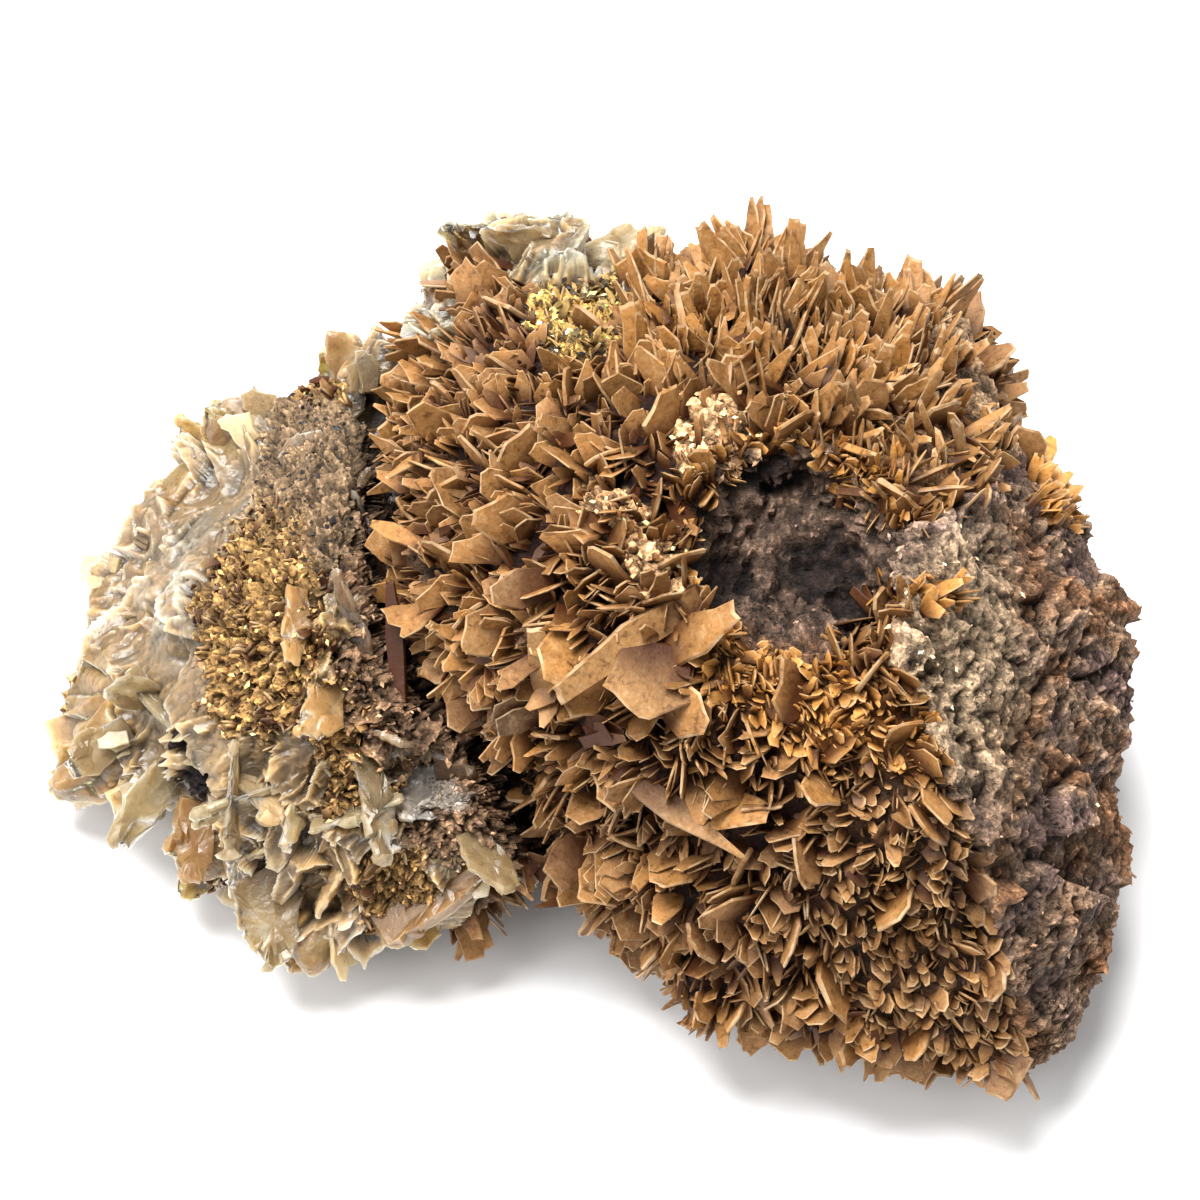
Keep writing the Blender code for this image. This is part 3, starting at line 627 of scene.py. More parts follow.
def relief_of(points, shares):
    """How far each place stands out of the smooth body, by zone."""
    coarse = turbulence_at(points, 9.0, 4, 1.0)
    middling = turbulence_at(points, 3.6, 3, 2.0)
    fine = turbulence_at(points, 1.5, 3, 4.0)
    ridges = 0.5 - np.abs(noise_at(points, 2.4, 6.0))
    soil = -2.0 + 1.0 * middling + 0.6 * fine

    inside, gap, slant = cells_at(points, CELL_SIZE, 71, 3.5, PALE_AXES)
    small_inside, small_gap, small_slant = cells_at(points, SMALL_CELL_SIZE, 72, 2.2, PALE_AXES)
    uneven = np.clip(0.7 + 1.4 * turbulence_at(points, 6.0, 2, 17.0), 0, 1.6)
    walls = np.exp(-((gap / 0.55) ** 2)) * uneven + 0.35 * np.exp(-((small_gap / 0.4) ** 2)) * uneven
    streaks = turbulence_at(points @ STREAK_AXES.T, 3.0, 3, 19.0)
    threads = turbulence_at(points @ STREAK_AXES.T, 0.9, 2, 25.0)
    folds = turbulence_at(points, 13.0, 2, 21.0)
    cellular = np.clip(1 - 0.85 * shares["frosted"] - 0.5 * shares["honey"], 0, 1)
    bowls = 1.2 * (inside**2 - 0.5) + 0.3 * (small_inside**2 - 0.5)
    ledges = 0.42 * np.clip(slant, -6, 6) + 0.24 * np.clip(small_slant, -4, 4)
    pale = 2.4 * folds + (bowls + 0.8 * walls + ledges) * cellular + 0.08 * slant
    pale = pale + 0.55 * streaks + 0.22 * threads + 0.2 * fine - 1.2 + 1.2 * shares["white"]
    honey = 2.2 * folds - 1.2 * inside**2 + 0.25 * (1 - small_inside**2) + 0.10 * slant + 0.14 * threads

    chip_inside, chip_gap, chips = cells_at(points, CHIP_SIZE, 12, 0.8)
    crumbs = cells_at(points, CRUMB_SIZE, 14, 0.6)[2]
    ledges = cells_at(points, LEDGE_SIZE, 13, 4.0)[2]
    cracks = np.exp(-((chip_gap / 0.25) ** 2))
    sheared = turbulence_at(points @ ROCK_AXES.T, 3.0, 3, 29.0)
    rock = 0.3 + 0.65 * coarse + 0.15 * ledges + 0.2 * chips - 0.45 * cracks + 0.16 * crumbs + 0.7 * sheared
    rock = rock + 0.85 * fine
    pit = 1.3 * middling + 0.6 * ridges + 0.18 * chips + 0.2 * crumbs + 0.5 * fine - 1.5 * shares["pit_dark"]
    beads = 1 - chip_inside**2
    beaded = np.clip(2.2 * noise_at(points, 7.0, 8.0), 0, 1)
    druse = 1.9 * middling + 1.1 * beads * beaded + 0.35 * crumbs + 0.5 * fine
    crumbly = 1.4 * middling + 0.45 * chips - 0.6 * cracks + 0.4 * crumbs + 0.4 * fine
    rise = soil * (1 - shares["pale"]) + pale * shares["pale"]
    heights = (
        (honey, ("honey",)), (rock, ("rock", "crust")), (pit, ("pit",)), (druse, ("druse",)),
        (crumbly, ("crushed", "yellow", "ochre", "grey", "matrix", "hematite")),
    )
    for height, names in heights:
        for name in names:
            rise = rise + (height - rise) * shares[name]
    return rise * (1 - 0.8 * shares["glassy"])


def edges_of(faces):
    """The two ends of each triangle's edges: all the first edges, then all the second, then all the third."""
    return np.sort(np.vstack([faces[:, [0, 1]], faces[:, [1, 2]], faces[:, [2, 0]]]), axis=1)


def quartered(faces, first):
    """Triangles split in four, with new corners numbered from `first`.

    It gives the new triangles, and for each new corner the ends of its edge and how many triangles share it.
    """
    pairs, index, uses = np.unique(edges_of(faces), axis=0, return_inverse=True, return_counts=True)
    a, b, c = faces.T
    ab, bc, ca = first + index.reshape(3, -1)
    quarters = ((a, ab, ca), (b, bc, ab), (c, ca, bc), (ab, bc, ca))
    return np.vstack([np.column_stack(corners) for corners in quarters]), pairs, uses


def split_faces(faces, chosen, directions):
    """The chosen triangles each split in four.

    It gives the triangles, the directions with the new ones added, which old triangle each comes from, and
    the new corners on the rim of the chosen ones, each with the two ends of its edge.
    """
    first = len(directions)
    quarters, pairs, uses = quartered(faces[chosen], first)
    source = np.nonzero(chosen)[0]
    rim = uses == 1
    return (
        np.vstack([faces[~chosen], quarters]),
        np.vstack([directions, rows_made_unit(directions[pairs].sum(axis=1))]),
        np.concatenate([np.nonzero(~chosen)[0], *[source] * 4]),
        (first + np.nonzero(rim)[0], pairs[rim]),
    )


@functools.lru_cache(maxsize=1)
def body():
    """The specimen's ground, worked out once: faces, places, normals and zones, finest where most is seen."""
    shape = bmesh.new()
    bmesh.ops.create_icosphere(shape, subdivisions=GROUND_SUBDIVISIONS, radius=1.0)
    directions = rows_made_unit(np.array([vertex.co for vertex in shape.verts]))
    faces = np.array([[vertex.index for vertex in face.verts] for face in shape.faces])
    shape.free()
    smooth, normals, _ = frame_at(directions)
    shares = zones_of(lumpy(smooth, normals), directions)
    facing = directions[:, 2][faces].mean(axis=1)
    pale = shares["pale"][faces].mean(axis=1)
    bare = most(shares, "rock", "crust", "pit", "crushed", "yellow")[faces].mean(axis=1)
    splits = np.where((pale > 0.3) & (facing > 0.0), 2, 0)
    splits = np.maximum(splits, ((bare > 0.2) | (pale > 0.2)) & (facing > -0.6))
    rims = []
    for level in (1, 2):
        faces, directions, source, rim = split_faces(faces, splits >= level, directions)
        splits = splits[source]
        rims.append(rim)
    smooth, normals, _ = frame_at(directions)
    lumps = lumpy(smooth, normals)
    shares = zones_of(lumps, directions)
    relief = relief_of(lumps, shares)
    outwards = lumps - np.array(PALE_HEART)
    outwards = rows_made_unit(outwards - normals * (outwards * normals).sum(axis=1)[:, None])
    lean = PALE_LEAN * np.clip(relief + 0.5, -0.5, 2.5) * shares["pale"]
    points = lumps + normals * relief[:, None] + outwards * lean[:, None]
    for corners, ends in rims:
        points[corners] = points[ends].mean(axis=1)
    proud = relief - neighbour_mean(relief, np.unique(edges_of(faces), axis=0), 10)
    return SimpleNamespace(
        faces=faces, directions=directions, normals=normals, points=points, shares=shares, proud=proud,
    )


@functools.lru_cache(maxsize=1)
def ground_tree():
    """The ground's places, for finding the nearest to a point."""
    return nearest_tree(body().points)


def neighbour_mean(values, links, rounds):
    """Values at corners, evened out over linked corners in a number of rounds."""
    count = len(values)
    ends = np.concatenate([links[:, 0], links[:, 1]])
    others = np.concatenate([links[:, 1], links[:, 0]])
    degree = np.maximum(np.bincount(ends, minlength=count), 1)
    for _ in range(rounds):
        values = 0.5 * values + 0.5 * np.bincount(ends, values[others], count) / degree
    return values


def rows_made_unit(vectors):
    """Each row of an array made one long."""
    return vectors / np.maximum(np.linalg.norm(vectors, axis=1), 1e-12)[:, None]


@functools.lru_cache(maxsize=1)
def ground_tint():
    """Each place's colour: the zones' over the dark ground in turn, then painted shade in hollows and painted
    highlight on ridges.
    """
    shares = body().shares
    tint = np.tile(SOIL_AND_GAP_SHADE, (len(body().points), 1))
    for name, laid in GROUND_COLOURS.items():
        share = shares[name][:, None]
        tint = tint * (1 - share) + np.array(laid) * share
    # Painted shade and highlight: darker where a place lies below its neighbours, lighter where it stands
    # above them
    return np.clip(tint * np.exp(HOLLOW_SHADE_RIDGE_LIGHT * np.clip(body().proud, -1.2, 0.8))[:, None], 0.002, 0.95)


# Blades


def crystal_outline(shoulder, skew, cut, buried):
    """A tabular crystal's outline (across, along), as the part's source draws it, buried corners first."""
    return [
        (-0.36, -buried), (0.36, -buried), (0.5, shoulder + 0.3 * skew),
        (skew + cut, 1.0), (skew - cut, 1.0), (-0.5, shoulder - 0.3 * skew),
    ]


def any_outline(rng, buried=0.45):
    """One of the many outlines that the blades have."""
    return crystal_outline(rng.uniform(0.3, 0.7), rng.uniform(-0.3, 0.3), rng.uniform(0.03, 0.32), buried)


def lath_outline(rng):
    """A long narrow blade's outline, with a chisel tip."""
    slant = rng.uniform(-0.2, 0.2)
    return [(-0.45, -0.3), (0.45, -0.3), (0.5, 0.85 + slant), (0.1, 1.0), (-0.4, 0.92 - slant), (-0.5, 0.4)]


def roughened(outline, steps, rough, rng):
    """An outline with each edge broken into steps that wander in and out."""
    points = []
    for start, end in zip(outline, outline[1:] + outline[:1]):
        start, end = np.array(start), np.array(end)
        points.append(start)
        along = end - start
        out = np.array([along[1], -along[0]])
        buried = max(start[1], end[1]) < 0
        for step in range(1, 1 if buried else steps):
            share = step / steps + rng.uniform(-0.12, 0.12)
            points.append(start + along * share + out * rng.uniform(-rough, 0.5 * rough))
    return np.array(points)


def blade_template(outline, steps, rough, rim, curl, rng):
    """One blade, one unit wide, long and thick: a sharp edge, a bevel and two faces, bent by `curl`."""
    flat = roughened(outline, steps, rough, rng)
    count = len(flat)
    middle = flat.mean(axis=0)
    inner = middle + (flat - middle) * (1 - rim)
    thin = 1 - EDGE_THINNING * 0.6 * np.clip(inner[:, 1], 0, 1)
    rows = [np.column_stack([flat, np.zeros(count)])]
    rows += [np.column_stack([inner, side * 0.5 * thin]) for side in (1, -1)]
    centres = [[*middle, side * 0.5 * (1 - EDGE_THINNING * 0.3)] for side in (1, -1)]
    corners = np.vstack(rows + [centres])
    bend, twist = rng.uniform(-curl, curl, 2)
    corners[:, 2] += bend * corners[:, 1] ** 2 + 2 * twist * corners[:, 0] * corners[:, 1]
    triangles, edges = [], []
    for side in (0, 1):
        turn = -1 if side else 1
        for i in range(count):
            j = (i + 1) % count
            ring = count * (1 + side)
            strip = [(i, j, ring + j), (i, ring + j, ring + i), (ring + i, ring + j, 3 * count + side)]
            triangles += [corner[::turn] for corner in strip]
            edges += [1.0, 1.0, 0.0]
    return SimpleNamespace(corners=corners, triangles=np.array(triangles), edges=np.array(edges))


def shard_template(rng):
    """A small broken grain of eight lopsided faces."""
    around = rng.uniform(0.35, 0.65, 4)
    ring = [
        (around[k] * math.cos(k * math.pi / 2), rng.uniform(0.1, 0.5), around[k] * math.sin(k * math.pi / 2))
        for k in range(4)
    ]
    corners = np.array(ring + [(rng.uniform(-0.2, 0.2), 1.0, 0.0), (0.0, -0.5, 0.0)])
    triangles = [t for k in range(4) for t in (((k + 1) % 4, k, 4), (k, (k + 1) % 4, 5))]
    return SimpleNamespace(corners=corners, triangles=np.array(triangles), edges=np.full(8, 0.3))


def templates(outline, count, steps, rough, rim, curl, seed):
    """A set of unlike blades to choose from."""
    rng = np.random.default_rng(seed)
    return [blade_template(outline(rng), steps, rough, rim, curl, rng) for _ in range(count)]


def gathered(crystals):
    """One mesh's arrays from many crystals, each (template, root, growth, face, size, tint, up).

    `up` is the ground's normal divided by the height at which a crystal's painted shade at its foot ends. The
    arrays are corners, triangles, which triangles are edges, how high corners stand, and tints.
    """
    corners, triangles, edges, tips, tints = [], [], [], [], []
    total = 0
    for template, root, growth, face, size, tint, up in crystals:
        growth = growth / np.linalg.norm(growth)
        across = np.cross(face, growth)
        across = across / np.linalg.norm(across)
        axes = np.array([across, growth, np.cross(across, growth)]) * np.array(size)[:, None]
        arms = template.corners @ axes
        corners.append(root + arms)
        triangles.append(template.triangles + total)
        edges.append(template.edges)
        tips.append(np.clip(arms @ up, 0, 1))
        tints.append(np.tile(tint, (len(template.triangles), 1)))
        total += len(template.corners)
    arrays = (corners, triangles, edges, tips, tints)
    return [np.concatenate(parts) for parts in arrays]


def above_table(crystals):
    """The crystals that stay clear of the table."""
    kept = []
    for crystal in crystals:
        root, growth, size = crystal[1], crystal[2], crystal[4]
        reach = max(size[0] * 0.6, size[1])
        low = to_row(np.array([root, root + growth / np.linalg.norm(growth) * size[1]]))[:, 2].min()
        if low > (LEAST_CLEAR + REACH_SHARE * reach * (low < NEAR_TABLE)) * MM:
            kept.append(crystal)
    return kept


def spread(allowed, spacing, seed, aside=0.7):
    """Sites on the allowed ground, `spacing` apart: (corner of the ground, place up to `aside` from it)."""
    ground = body()
    rng = np.random.default_rng(seed)
    chosen = rng.permutation(np.repeat(np.nonzero(allowed)[0], 3))
    shift = rng.uniform(-aside, aside, (len(chosen), 3))
    normals = ground.normals[chosen]
    places = ground.points[chosen] + shift - normals * (shift * normals).sum(axis=1)[:, None]
    tree = nearest_tree(places)
    free = np.ones(len(chosen), bool)
    sites = []
    for index, place in enumerate(places):
        if free[index]:
            sites.append((chosen[index], place))
            for _, near, _ in tree.find_range(place, spacing):
                free[near] = False
    return sites


def grown(sites, kind, choices, seed):
    """Blades of one kind on the given sites of the ground."""
    ground = body()
    rng = np.random.default_rng(seed)
    made = []
    towards_viewer = np.array([0.0, 0.0, 1.0])
    for corner, point in sites:
        normal = ground.normals[corner]
        outwards = unit(point - kind.heart)
        growth = unit(kind.follow * normal + kind.lean * outwards + kind.wander * rng.normal(size=3))
        if np.dot(growth, normal) < 0.15:
            growth = unit(growth + 0.5 * normal)
        visible = max(float(normal[2]), 0.0)
        swirl = np.array(noise.noise_vector(Vector(point) / kind.swirl_size))
        face = kind.shown * (0.7 * normal + 0.9 * visible * towards_viewer) + 2.2 * swirl
        face = face + 0.35 * rng.normal(size=3)
        face = unit(np.cross(growth, np.cross(face, growth)))
        shade = rng.normal()
        size = np.clip(math.exp(kind.uneven * rng.normal()), 0.5, kind.largest)
        for leaf in range(rng.integers(kind.bunch[0], kind.bunch[1] + 1)):
            sizes = [rng.uniform(*span) * size for span in (kind.width, kind.length, kind.thickness)]
            turned = unit(growth + 0.16 * rng.normal(size=3))
            faced = unit(face + 0.12 * rng.normal(size=3))
            beside = 0.3 * sizes[0] * rng.uniform(-1, 1) * (leaf > 0) * unit(np.cross(face, growth))
            root = point - kind.sink * normal + face * leaf * rng.uniform(0.8, 1.7) * kind.step + beside
            tint = kind.tint(ground, corner) * (1 + kind.vary * (0.6 * shade + 0.5 * rng.normal()))
            tint = np.clip(tint, 0.004, 0.95)
            choice = choices[rng.integers(len(choices))]
            made.append((choice, root, turned, faced, sizes, tint, normal / kind.height))
    return made


def large_crystals():
    """The part's own large crystals: (outline, root, growth, face, size, normal)."""
    crystals = []
    for index, (u, v, heading, lift, turn, length, width, thickness) in enumerate(NAMED_CRYSTALS):
        rng = np.random.default_rng([CRYSTAL_SEED, 1, index])
        root = np.array([u, v, face_depth(u, v)])
        growth, face = headed(heading, lift, turn)
        outline = drawn_outline(rng, NAMED_BURIED / length)
        crystals.append((outline, root, growth, face, (width, length, thickness), np.array([0.0, 0.0, 1.0])))
    rng = np.random.default_rng(CRYSTAL_SEED)
    directions = rng.normal(size=(CRYSTAL_CANDIDATES, 3))
    directions /= np.linalg.norm(directions, axis=1)[:, None]
    chances = rng.random(CRYSTAL_CANDIDATES)
    points, normals, areas = frame_at(directions)
    chosen = [crystal[1] for crystal in crystals]
    for index in np.nonzero(chances < areas / np.quantile(areas, EVEN_SHARE))[0]:
        point, normal = points[index], normals[index]
        if is_bare(directions[index], point):
            continue
        if np.min(np.linalg.norm(np.array(chosen) - point, axis=1)) < CRYSTAL_SPACING:
            continue
        chosen.append(point)
        own = np.random.default_rng([CRYSTAL_SEED, 2, index])
        pale = point[0] < crevice_u(point[1])
        lengths, widths, thicknesses, buried, follow, lean, wander = PLATE if pale else BLADE
        heart = LOW_HEART if pale else TALL_HEART
        growth = unit(follow * normal + lean * unit(point - heart) + wander * own.normal(size=3))
        face = np.cross(growth, own.normal(size=3))
        if pale:
            face = unit(face) + PLATE_FLATNESS * normal
            face = face - growth * np.dot(face, growth)
        length, width, thickness = own.uniform(*lengths), own.uniform(*widths), own.uniform(*thicknesses)
        outline = drawn_outline(own, buried / length)
        crystals.append((outline, point, growth, face, (width, length, thickness), normal))
    return crystals


def headed(heading, lift, turn):
    """Growth and face of a crystal from its heading in the picture, its lift to the viewer and its turn."""
    heading, lift, turn = (math.radians(angle) for angle in (heading, lift, turn))
    flat_share = math.cos(lift)
    growth = np.array([math.cos(heading) * flat_share, math.sin(heading) * flat_share, math.sin(lift)])
    flat = unit(np.cross([0, 0, 1], growth))
    return growth, math.cos(turn) * np.cross(growth, flat) + math.sin(turn) * flat


def drawn_outline(rng, buried):
    """The outline that the part's source draws with this generator."""
    shoulder = rng.uniform(0.35, 0.6)
    skew = rng.uniform(-0.25, 0.25)
    return crystal_outline(shoulder, skew, rng.uniform(0.05, 0.25), buried)


# Objects


def worn_down(corners, triangles, edges, tips, tints, wear):
    """A piece's arrays with its triangles split twice and its surface roughened along the streaks."""
    for _ in range(2):
        triangles, pairs, _ = quartered(triangles, len(corners))
        corners = np.vstack([corners, corners[pairs].mean(axis=1)])
        tips = np.concatenate([tips, tips[pairs].mean(axis=1)])
        edges, tints = np.tile(edges, 4), np.tile(tints, (4, 1))
    normals = np.zeros_like(corners)
    a, b, c = (corners[triangles[:, part]] for part in range(3))
    slants = np.cross(b - a, c - a)
    for part in range(3):
        np.add.at(normals, triangles[:, part], slants)
    rise = 0.45 * turbulence_at(corners @ STREAK_AXES.T, 3.0, 3, 19.0)
    rise = rise + 0.30 * turbulence_at(corners, 3.0, 3, 27.0)
    rise = rise + 0.12 * cells_at(corners, CHIP_SIZE, 73, 0.8)[2]
    return corners + rows_made_unit(normals) * wear * rise[:, None], triangles, edges, tips, tints


def finished_piece(name, material, sharp, corners, triangles, edges, tips, tints):
    """An object from arrays in the picture frame, with the marks that its material reads.

    `sharp` is the angle past which an edge is drawn sharp.
    """
    mesh = bpy.data.meshes.new(name)
    places = to_row(corners)
    places[:, 2] = np.maximum(places[:, 2], 0.0)
    mesh.from_pydata(places.tolist(), [], triangles.tolist())
    # edge and tip are the masks for the painted highlight on rims and the painted shade at roots
    add_mark(mesh, "edge", "FLOAT", "FACE", edges)
    add_mark(mesh, "tip", "FLOAT", "POINT", tips)
    add_mark(mesh, "tint", "FLOAT_COLOR", "FACE" if len(tints) == len(triangles) else "POINT", tints)
    mesh.shade_smooth()
    mesh.set_sharp_from_angle(angle=math.radians(sharp))
    mesh.materials.append(material)
    piece = bpy.data.objects.new(name, mesh)
    bpy.context.scene.collection.objects.link(piece)
    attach(piece, BODY)
    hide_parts(NODE)
    return piece


def add_crystals(name, material, sharp, crystals, wear=0.0):
    """A piece made of many crystals, without those that would reach the table."""
    arrays = gathered(above_table(crystals))
    if wear:
        arrays = worn_down(*arrays, wear)
    return finished_piece(name, material, sharp, *arrays)


def add_mark(mesh, name, kind, domain, values):
    """A named attribute that a material can read."""
    mark = mesh.attributes.new(name, kind, domain)
    if kind == "FLOAT_COLOR":
        mark.data.foreach_set("color", np.column_stack([values, np.ones(len(values))]).ravel())
    else:
        mark.data.foreach_set("value", np.asarray(values, float))


# Materials


def feed(tree, socket, value):
    """A socket linked to another, or set to a plain value."""
    if isinstance(value, bpy.types.NodeSocket):
        tree.links.new(value, socket)
    else:
        socket.default_value = value


def wired(tree, kind, inputs=None, **settings):
    """A node, with its settings, and with its inputs linked to sockets or set to values."""
    node = tree.nodes.new(kind)
    for name, value in settings.items():
        setattr(node, name, value)
    for name, value in (inputs or {}).items():
        feed(tree, node.inputs[name], value)
    return node


def worked_out(tree, operation, *values):
    """The result of a sum, product and so on of sockets and numbers."""
    return wired(tree, "ShaderNodeMath", dict(enumerate(values)), operation=operation).outputs[0]


def scaled(tree, value, low=0.0, high=1.0, start=0.0, end=1.0, **settings):
    """A value between `start` and `end` mapped to between `low` and `high`."""
    inputs = {"Value": value, "From Min": start, "From Max": end, "To Min": low, "To Max": high}
    return wired(tree, "ShaderNodeMapRange", inputs, **settings).outputs["Result"]


def mixed(tree, factor, first, second):
    """A mix of two colours."""
    return wired(tree, "ShaderNodeMix", {0: factor, 6: first, 7: second}, data_type="RGBA").outputs[2]


def brightened(tree, tint, factor):
    """A colour times a number."""
    return wired(tree, "ShaderNodeVectorMath", {0: tint, "Scale": factor}, operation="SCALE").outputs[0]


def cloud(tree, scale, detail, roughness=0.5, distortion=0.0):
    """Noise that is fixed to the piece."""
    inputs = {
        "Vector": tree.nodes.new("ShaderNodeTexCoord").outputs["Object"], "Scale": scale, "Detail": detail,
        "Roughness": roughness, "Distortion": distortion,
    }
    return wired(tree, "ShaderNodeTexNoise", inputs).outputs["Fac"]


def mark(tree, name, output="Fac"):
    """A mark that the mesh carries."""
    return wired(tree, "ShaderNodeAttribute", attribute_name=name).outputs[output]


def effect_group(name, inputs, outputs):
    """An empty shader node group with named sockets: (tree, its input sockets, its output node)."""
    tree = bpy.data.node_groups.new(name, "ShaderNodeTree")
    for socket, (kind, default) in inputs.items():
        made = tree.interface.new_socket(socket, in_out="INPUT", socket_type="NodeSocket" + kind)
        made.default_value = default
    for socket, kind in outputs.items():
        tree.interface.new_socket(socket, in_out="OUTPUT", socket_type="NodeSocket" + kind)
    return tree, tree.nodes.new("NodeGroupInput").outputs, tree.nodes.new("NodeGroupOutput")


def place_group(tree, group, **inputs):
    """A group placed in a material: its output sockets."""
    named = {name.replace("_", " "): value for name, value in inputs.items()}
    return wired(tree, "ShaderNodeGroup", named, node_tree=group).outputs


def grain_group():
    """Mineral grain: the colour is lightened and darkened at two sizes, and the height follows it."""
    tree, entry, leave = effect_group(
        "mineral_grain",
        {
            "Color": ("Color", (0.5, 0.5, 0.5, 1)), "Coarse": ("Float", 200.0), "Fine": ("Float", 1200.0),
            "Contrast": ("Float", 0.3),
        },
        {"Color": "Color", "Height": "Float", "Mask": "Float"},
    )
    coarse = cloud(tree, entry["Coarse"], 4.0, 0.6)
    fine = cloud(tree, entry["Fine"], 3.0, 0.7)
    both = worked_out(tree, "ADD", coarse, fine)
    strength = worked_out(tree, "MULTIPLY", worked_out(tree, "SUBTRACT", both, 1.0), entry["Contrast"])
    gain = worked_out(tree, "MAXIMUM", worked_out(tree, "MULTIPLY_ADD", strength, 4.0, 1.0), 0.12)
    tree.links.new(brightened(tree, entry["Color"], gain), leave.inputs["Color"])
    tree.links.new(both, leave.inputs["Height"])
    tree.links.new(fine, leave.inputs["Mask"])
    return tree


def fleck_group():
    """Flecks: small worm-like patches, some lighter and some darker than the ground."""
    tree, entry, leave = effect_group(
        "flecks",
        {
            "Color": ("Color", (0.5, 0.5, 0.5, 1)), "Light": ("Color", (0.8, 0.8, 0.8, 1)),
            "Dark": ("Color", (0.05, 0.05, 0.05, 1)), "Scale": ("Float", 900.0), "Amount": ("Float", 0.5),
        },
        {"Color": "Color", "Height": "Float"},
    )
    worms = cloud(tree, entry["Scale"], 5.0, 0.72, 0.6)
    shift = worked_out(tree, "MULTIPLY_ADD", cloud(tree, 130.0, 3.0), 0.35, -0.175)
    both = worked_out(tree, "ADD", worms, shift)
    light = worked_out(tree, "MULTIPLY", scaled(tree, both, start=0.53, end=0.66), entry["Amount"])
    dark = worked_out(tree, "MULTIPLY", scaled(tree, both, start=0.46, end=0.34), entry["Amount"])
    out = mixed(tree, light, entry["Color"], entry["Light"])
    tree.links.new(mixed(tree, dark, out, entry["Dark"]), leave.inputs["Color"])
    tree.links.new(both, leave.inputs["Height"])
    return tree


def edge_highlight_and_root_shade_group():
    """Painted light on crystals: a painted highlight along thin edges, and painted shade towards the root."""
    tree, entry, leave = effect_group(
        "painted_edge_highlight_and_root_shade",
        {
            # Rim and Rim Share are the painted edge highlight, Root and Root Share the painted root shade
            "Color": ("Color", (0.5, 0.5, 0.5, 1)), "Rim": ("Color", (0.8, 0.7, 0.5, 1)),
            "Rim Share": ("Float", 0.6), "Root": ("Color", (0.1, 0.05, 0.02, 1)),
            "Root Share": ("Float", 0.7),
        },
        {"Color": "Color"},
    )
    tip = mark(tree, "tip")
    # Painted highlight: lighter on the edge triangles, more so towards the tip
    rim = worked_out(tree, "MULTIPLY", mark(tree, "edge"), entry["Rim Share"])
    rim = worked_out(tree, "MULTIPLY", rim, scaled(tree, tip, low=0.15))
    rim = worked_out(tree, "MULTIPLY", rim, scaled(tree, cloud(tree, 320.0, 2.0), start=0.38, end=0.6))
    out = mixed(tree, rim, entry["Color"], entry["Rim"])
    # Painted shade: darker towards the root, where the blades shade each other
    root_shade = scaled(tree, tip, low=1.0, high=0.0, end=0.8, interpolation_type="SMOOTHSTEP")
    root_shade = worked_out(tree, "MULTIPLY", root_shade, entry["Root Share"])
    tree.links.new(mixed(tree, root_shade, out, entry["Root"]), leave.inputs["Color"])
    return tree


@functools.lru_cache(maxsize=1)
def effects():
    """The shared shader groups, made once."""
    # rims: the painted edge highlight and root shade
    return SimpleNamespace(grain=grain_group(), flecks=fleck_group(), rims=edge_highlight_and_root_shade_group())


def new_material(name, shader_values):
    """A material with its Principled shader's plain values set: (material, tree, shader)."""
    material = bpy.data.materials.new(name)
    material.use_nodes = True
    tree = material.node_tree
    shader = tree.nodes["Principled BSDF"]
    for socket, value in shader_values.items():
        shader.inputs[socket].default_value = value
    return material, tree, shader


def surfaced(tree, shader, tint, roughness):
    """The shader's colour and roughness linked."""
    tree.links.new(tint, shader.inputs["Base Color"])
    tree.links.new(roughness, shader.inputs["Roughness"])


def bumped(tree, shader, height, strength, distance):
    """A bump of a height socket on the shader's normal."""
    bump = wired(tree, "ShaderNodeBump", {"Height": height, "Strength": strength, "Distance": distance})
    tree.links.new(bump.outputs["Normal"], shader.inputs["Normal"])


def blade_material(name, roughness, contrast):
    """Barite blades: the blade's own tint with grain, a painted highlight on the rims and painted shade at
    the roots.
    """
    settings = bpy.context.scene.barite_blades
    rim, root = (*settings.rim, 1), (*settings.root, 1)
    material, tree, shader = new_material(name, {"Metallic": 0.0, "Specular IOR Level": 0.2})
    tint = mark(tree, "tint", "Color")
    light, dark = mixed(tree, 0.3, tint, rim), mixed(tree, 0.75, tint, root)
    dusty = place_group(tree, effects().flecks, Color=tint, Light=light, Dark=dark, Scale=620.0, Amount=0.8)
    grain = place_group(
        tree, effects().grain, Color=dusty["Color"], Coarse=260.0, Fine=1500.0, Contrast=contrast,
    )
    # Painted highlight on the rims and painted shade at the roots
    rims = place_group(
        tree, effects().rims, Color=grain["Color"], Rim=rim, Root=root, Rim_Share=0.6, Root_Share=0.95,
    )
    surfaced(tree, shader, rims["Color"], scaled(tree, grain["Mask"], roughness - 0.12, roughness + 0.2))
    bumped(tree, shader, grain["Height"], 0.5, 0.0002)
    return material


def pale_material(name):
    """Cleaved, milky barite that lets light in."""
    settings = bpy.context.scene.barite_plates
    rim, root = (*settings.rim, 1), (*settings.root, 1)
    material, tree, shader = new_material(name, {
        "Metallic": 0.0, "Specular IOR Level": 0.55, "Subsurface Weight": 0.8, "Subsurface Scale": 0.008,
        "Subsurface Radius": (1.0, 0.85, 0.6),
    })
    tint = mark(tree, "tint", "Color")
    grain = place_group(tree, effects().grain, Color=tint, Coarse=180.0, Fine=900.0, Contrast=0.22)
    # A little painted highlight on the edges and painted shade at the roots
    rims = place_group(
        tree, effects().rims, Color=grain["Color"], Rim=rim, Root=root, Rim_Share=0.25, Root_Share=0.25,
    )
    surfaced(tree, shader, rims["Color"], scaled(tree, grain["Mask"], 0.15, 0.5))
    bumped(tree, shader, grain["Height"], 0.5, 0.0004)
    return material


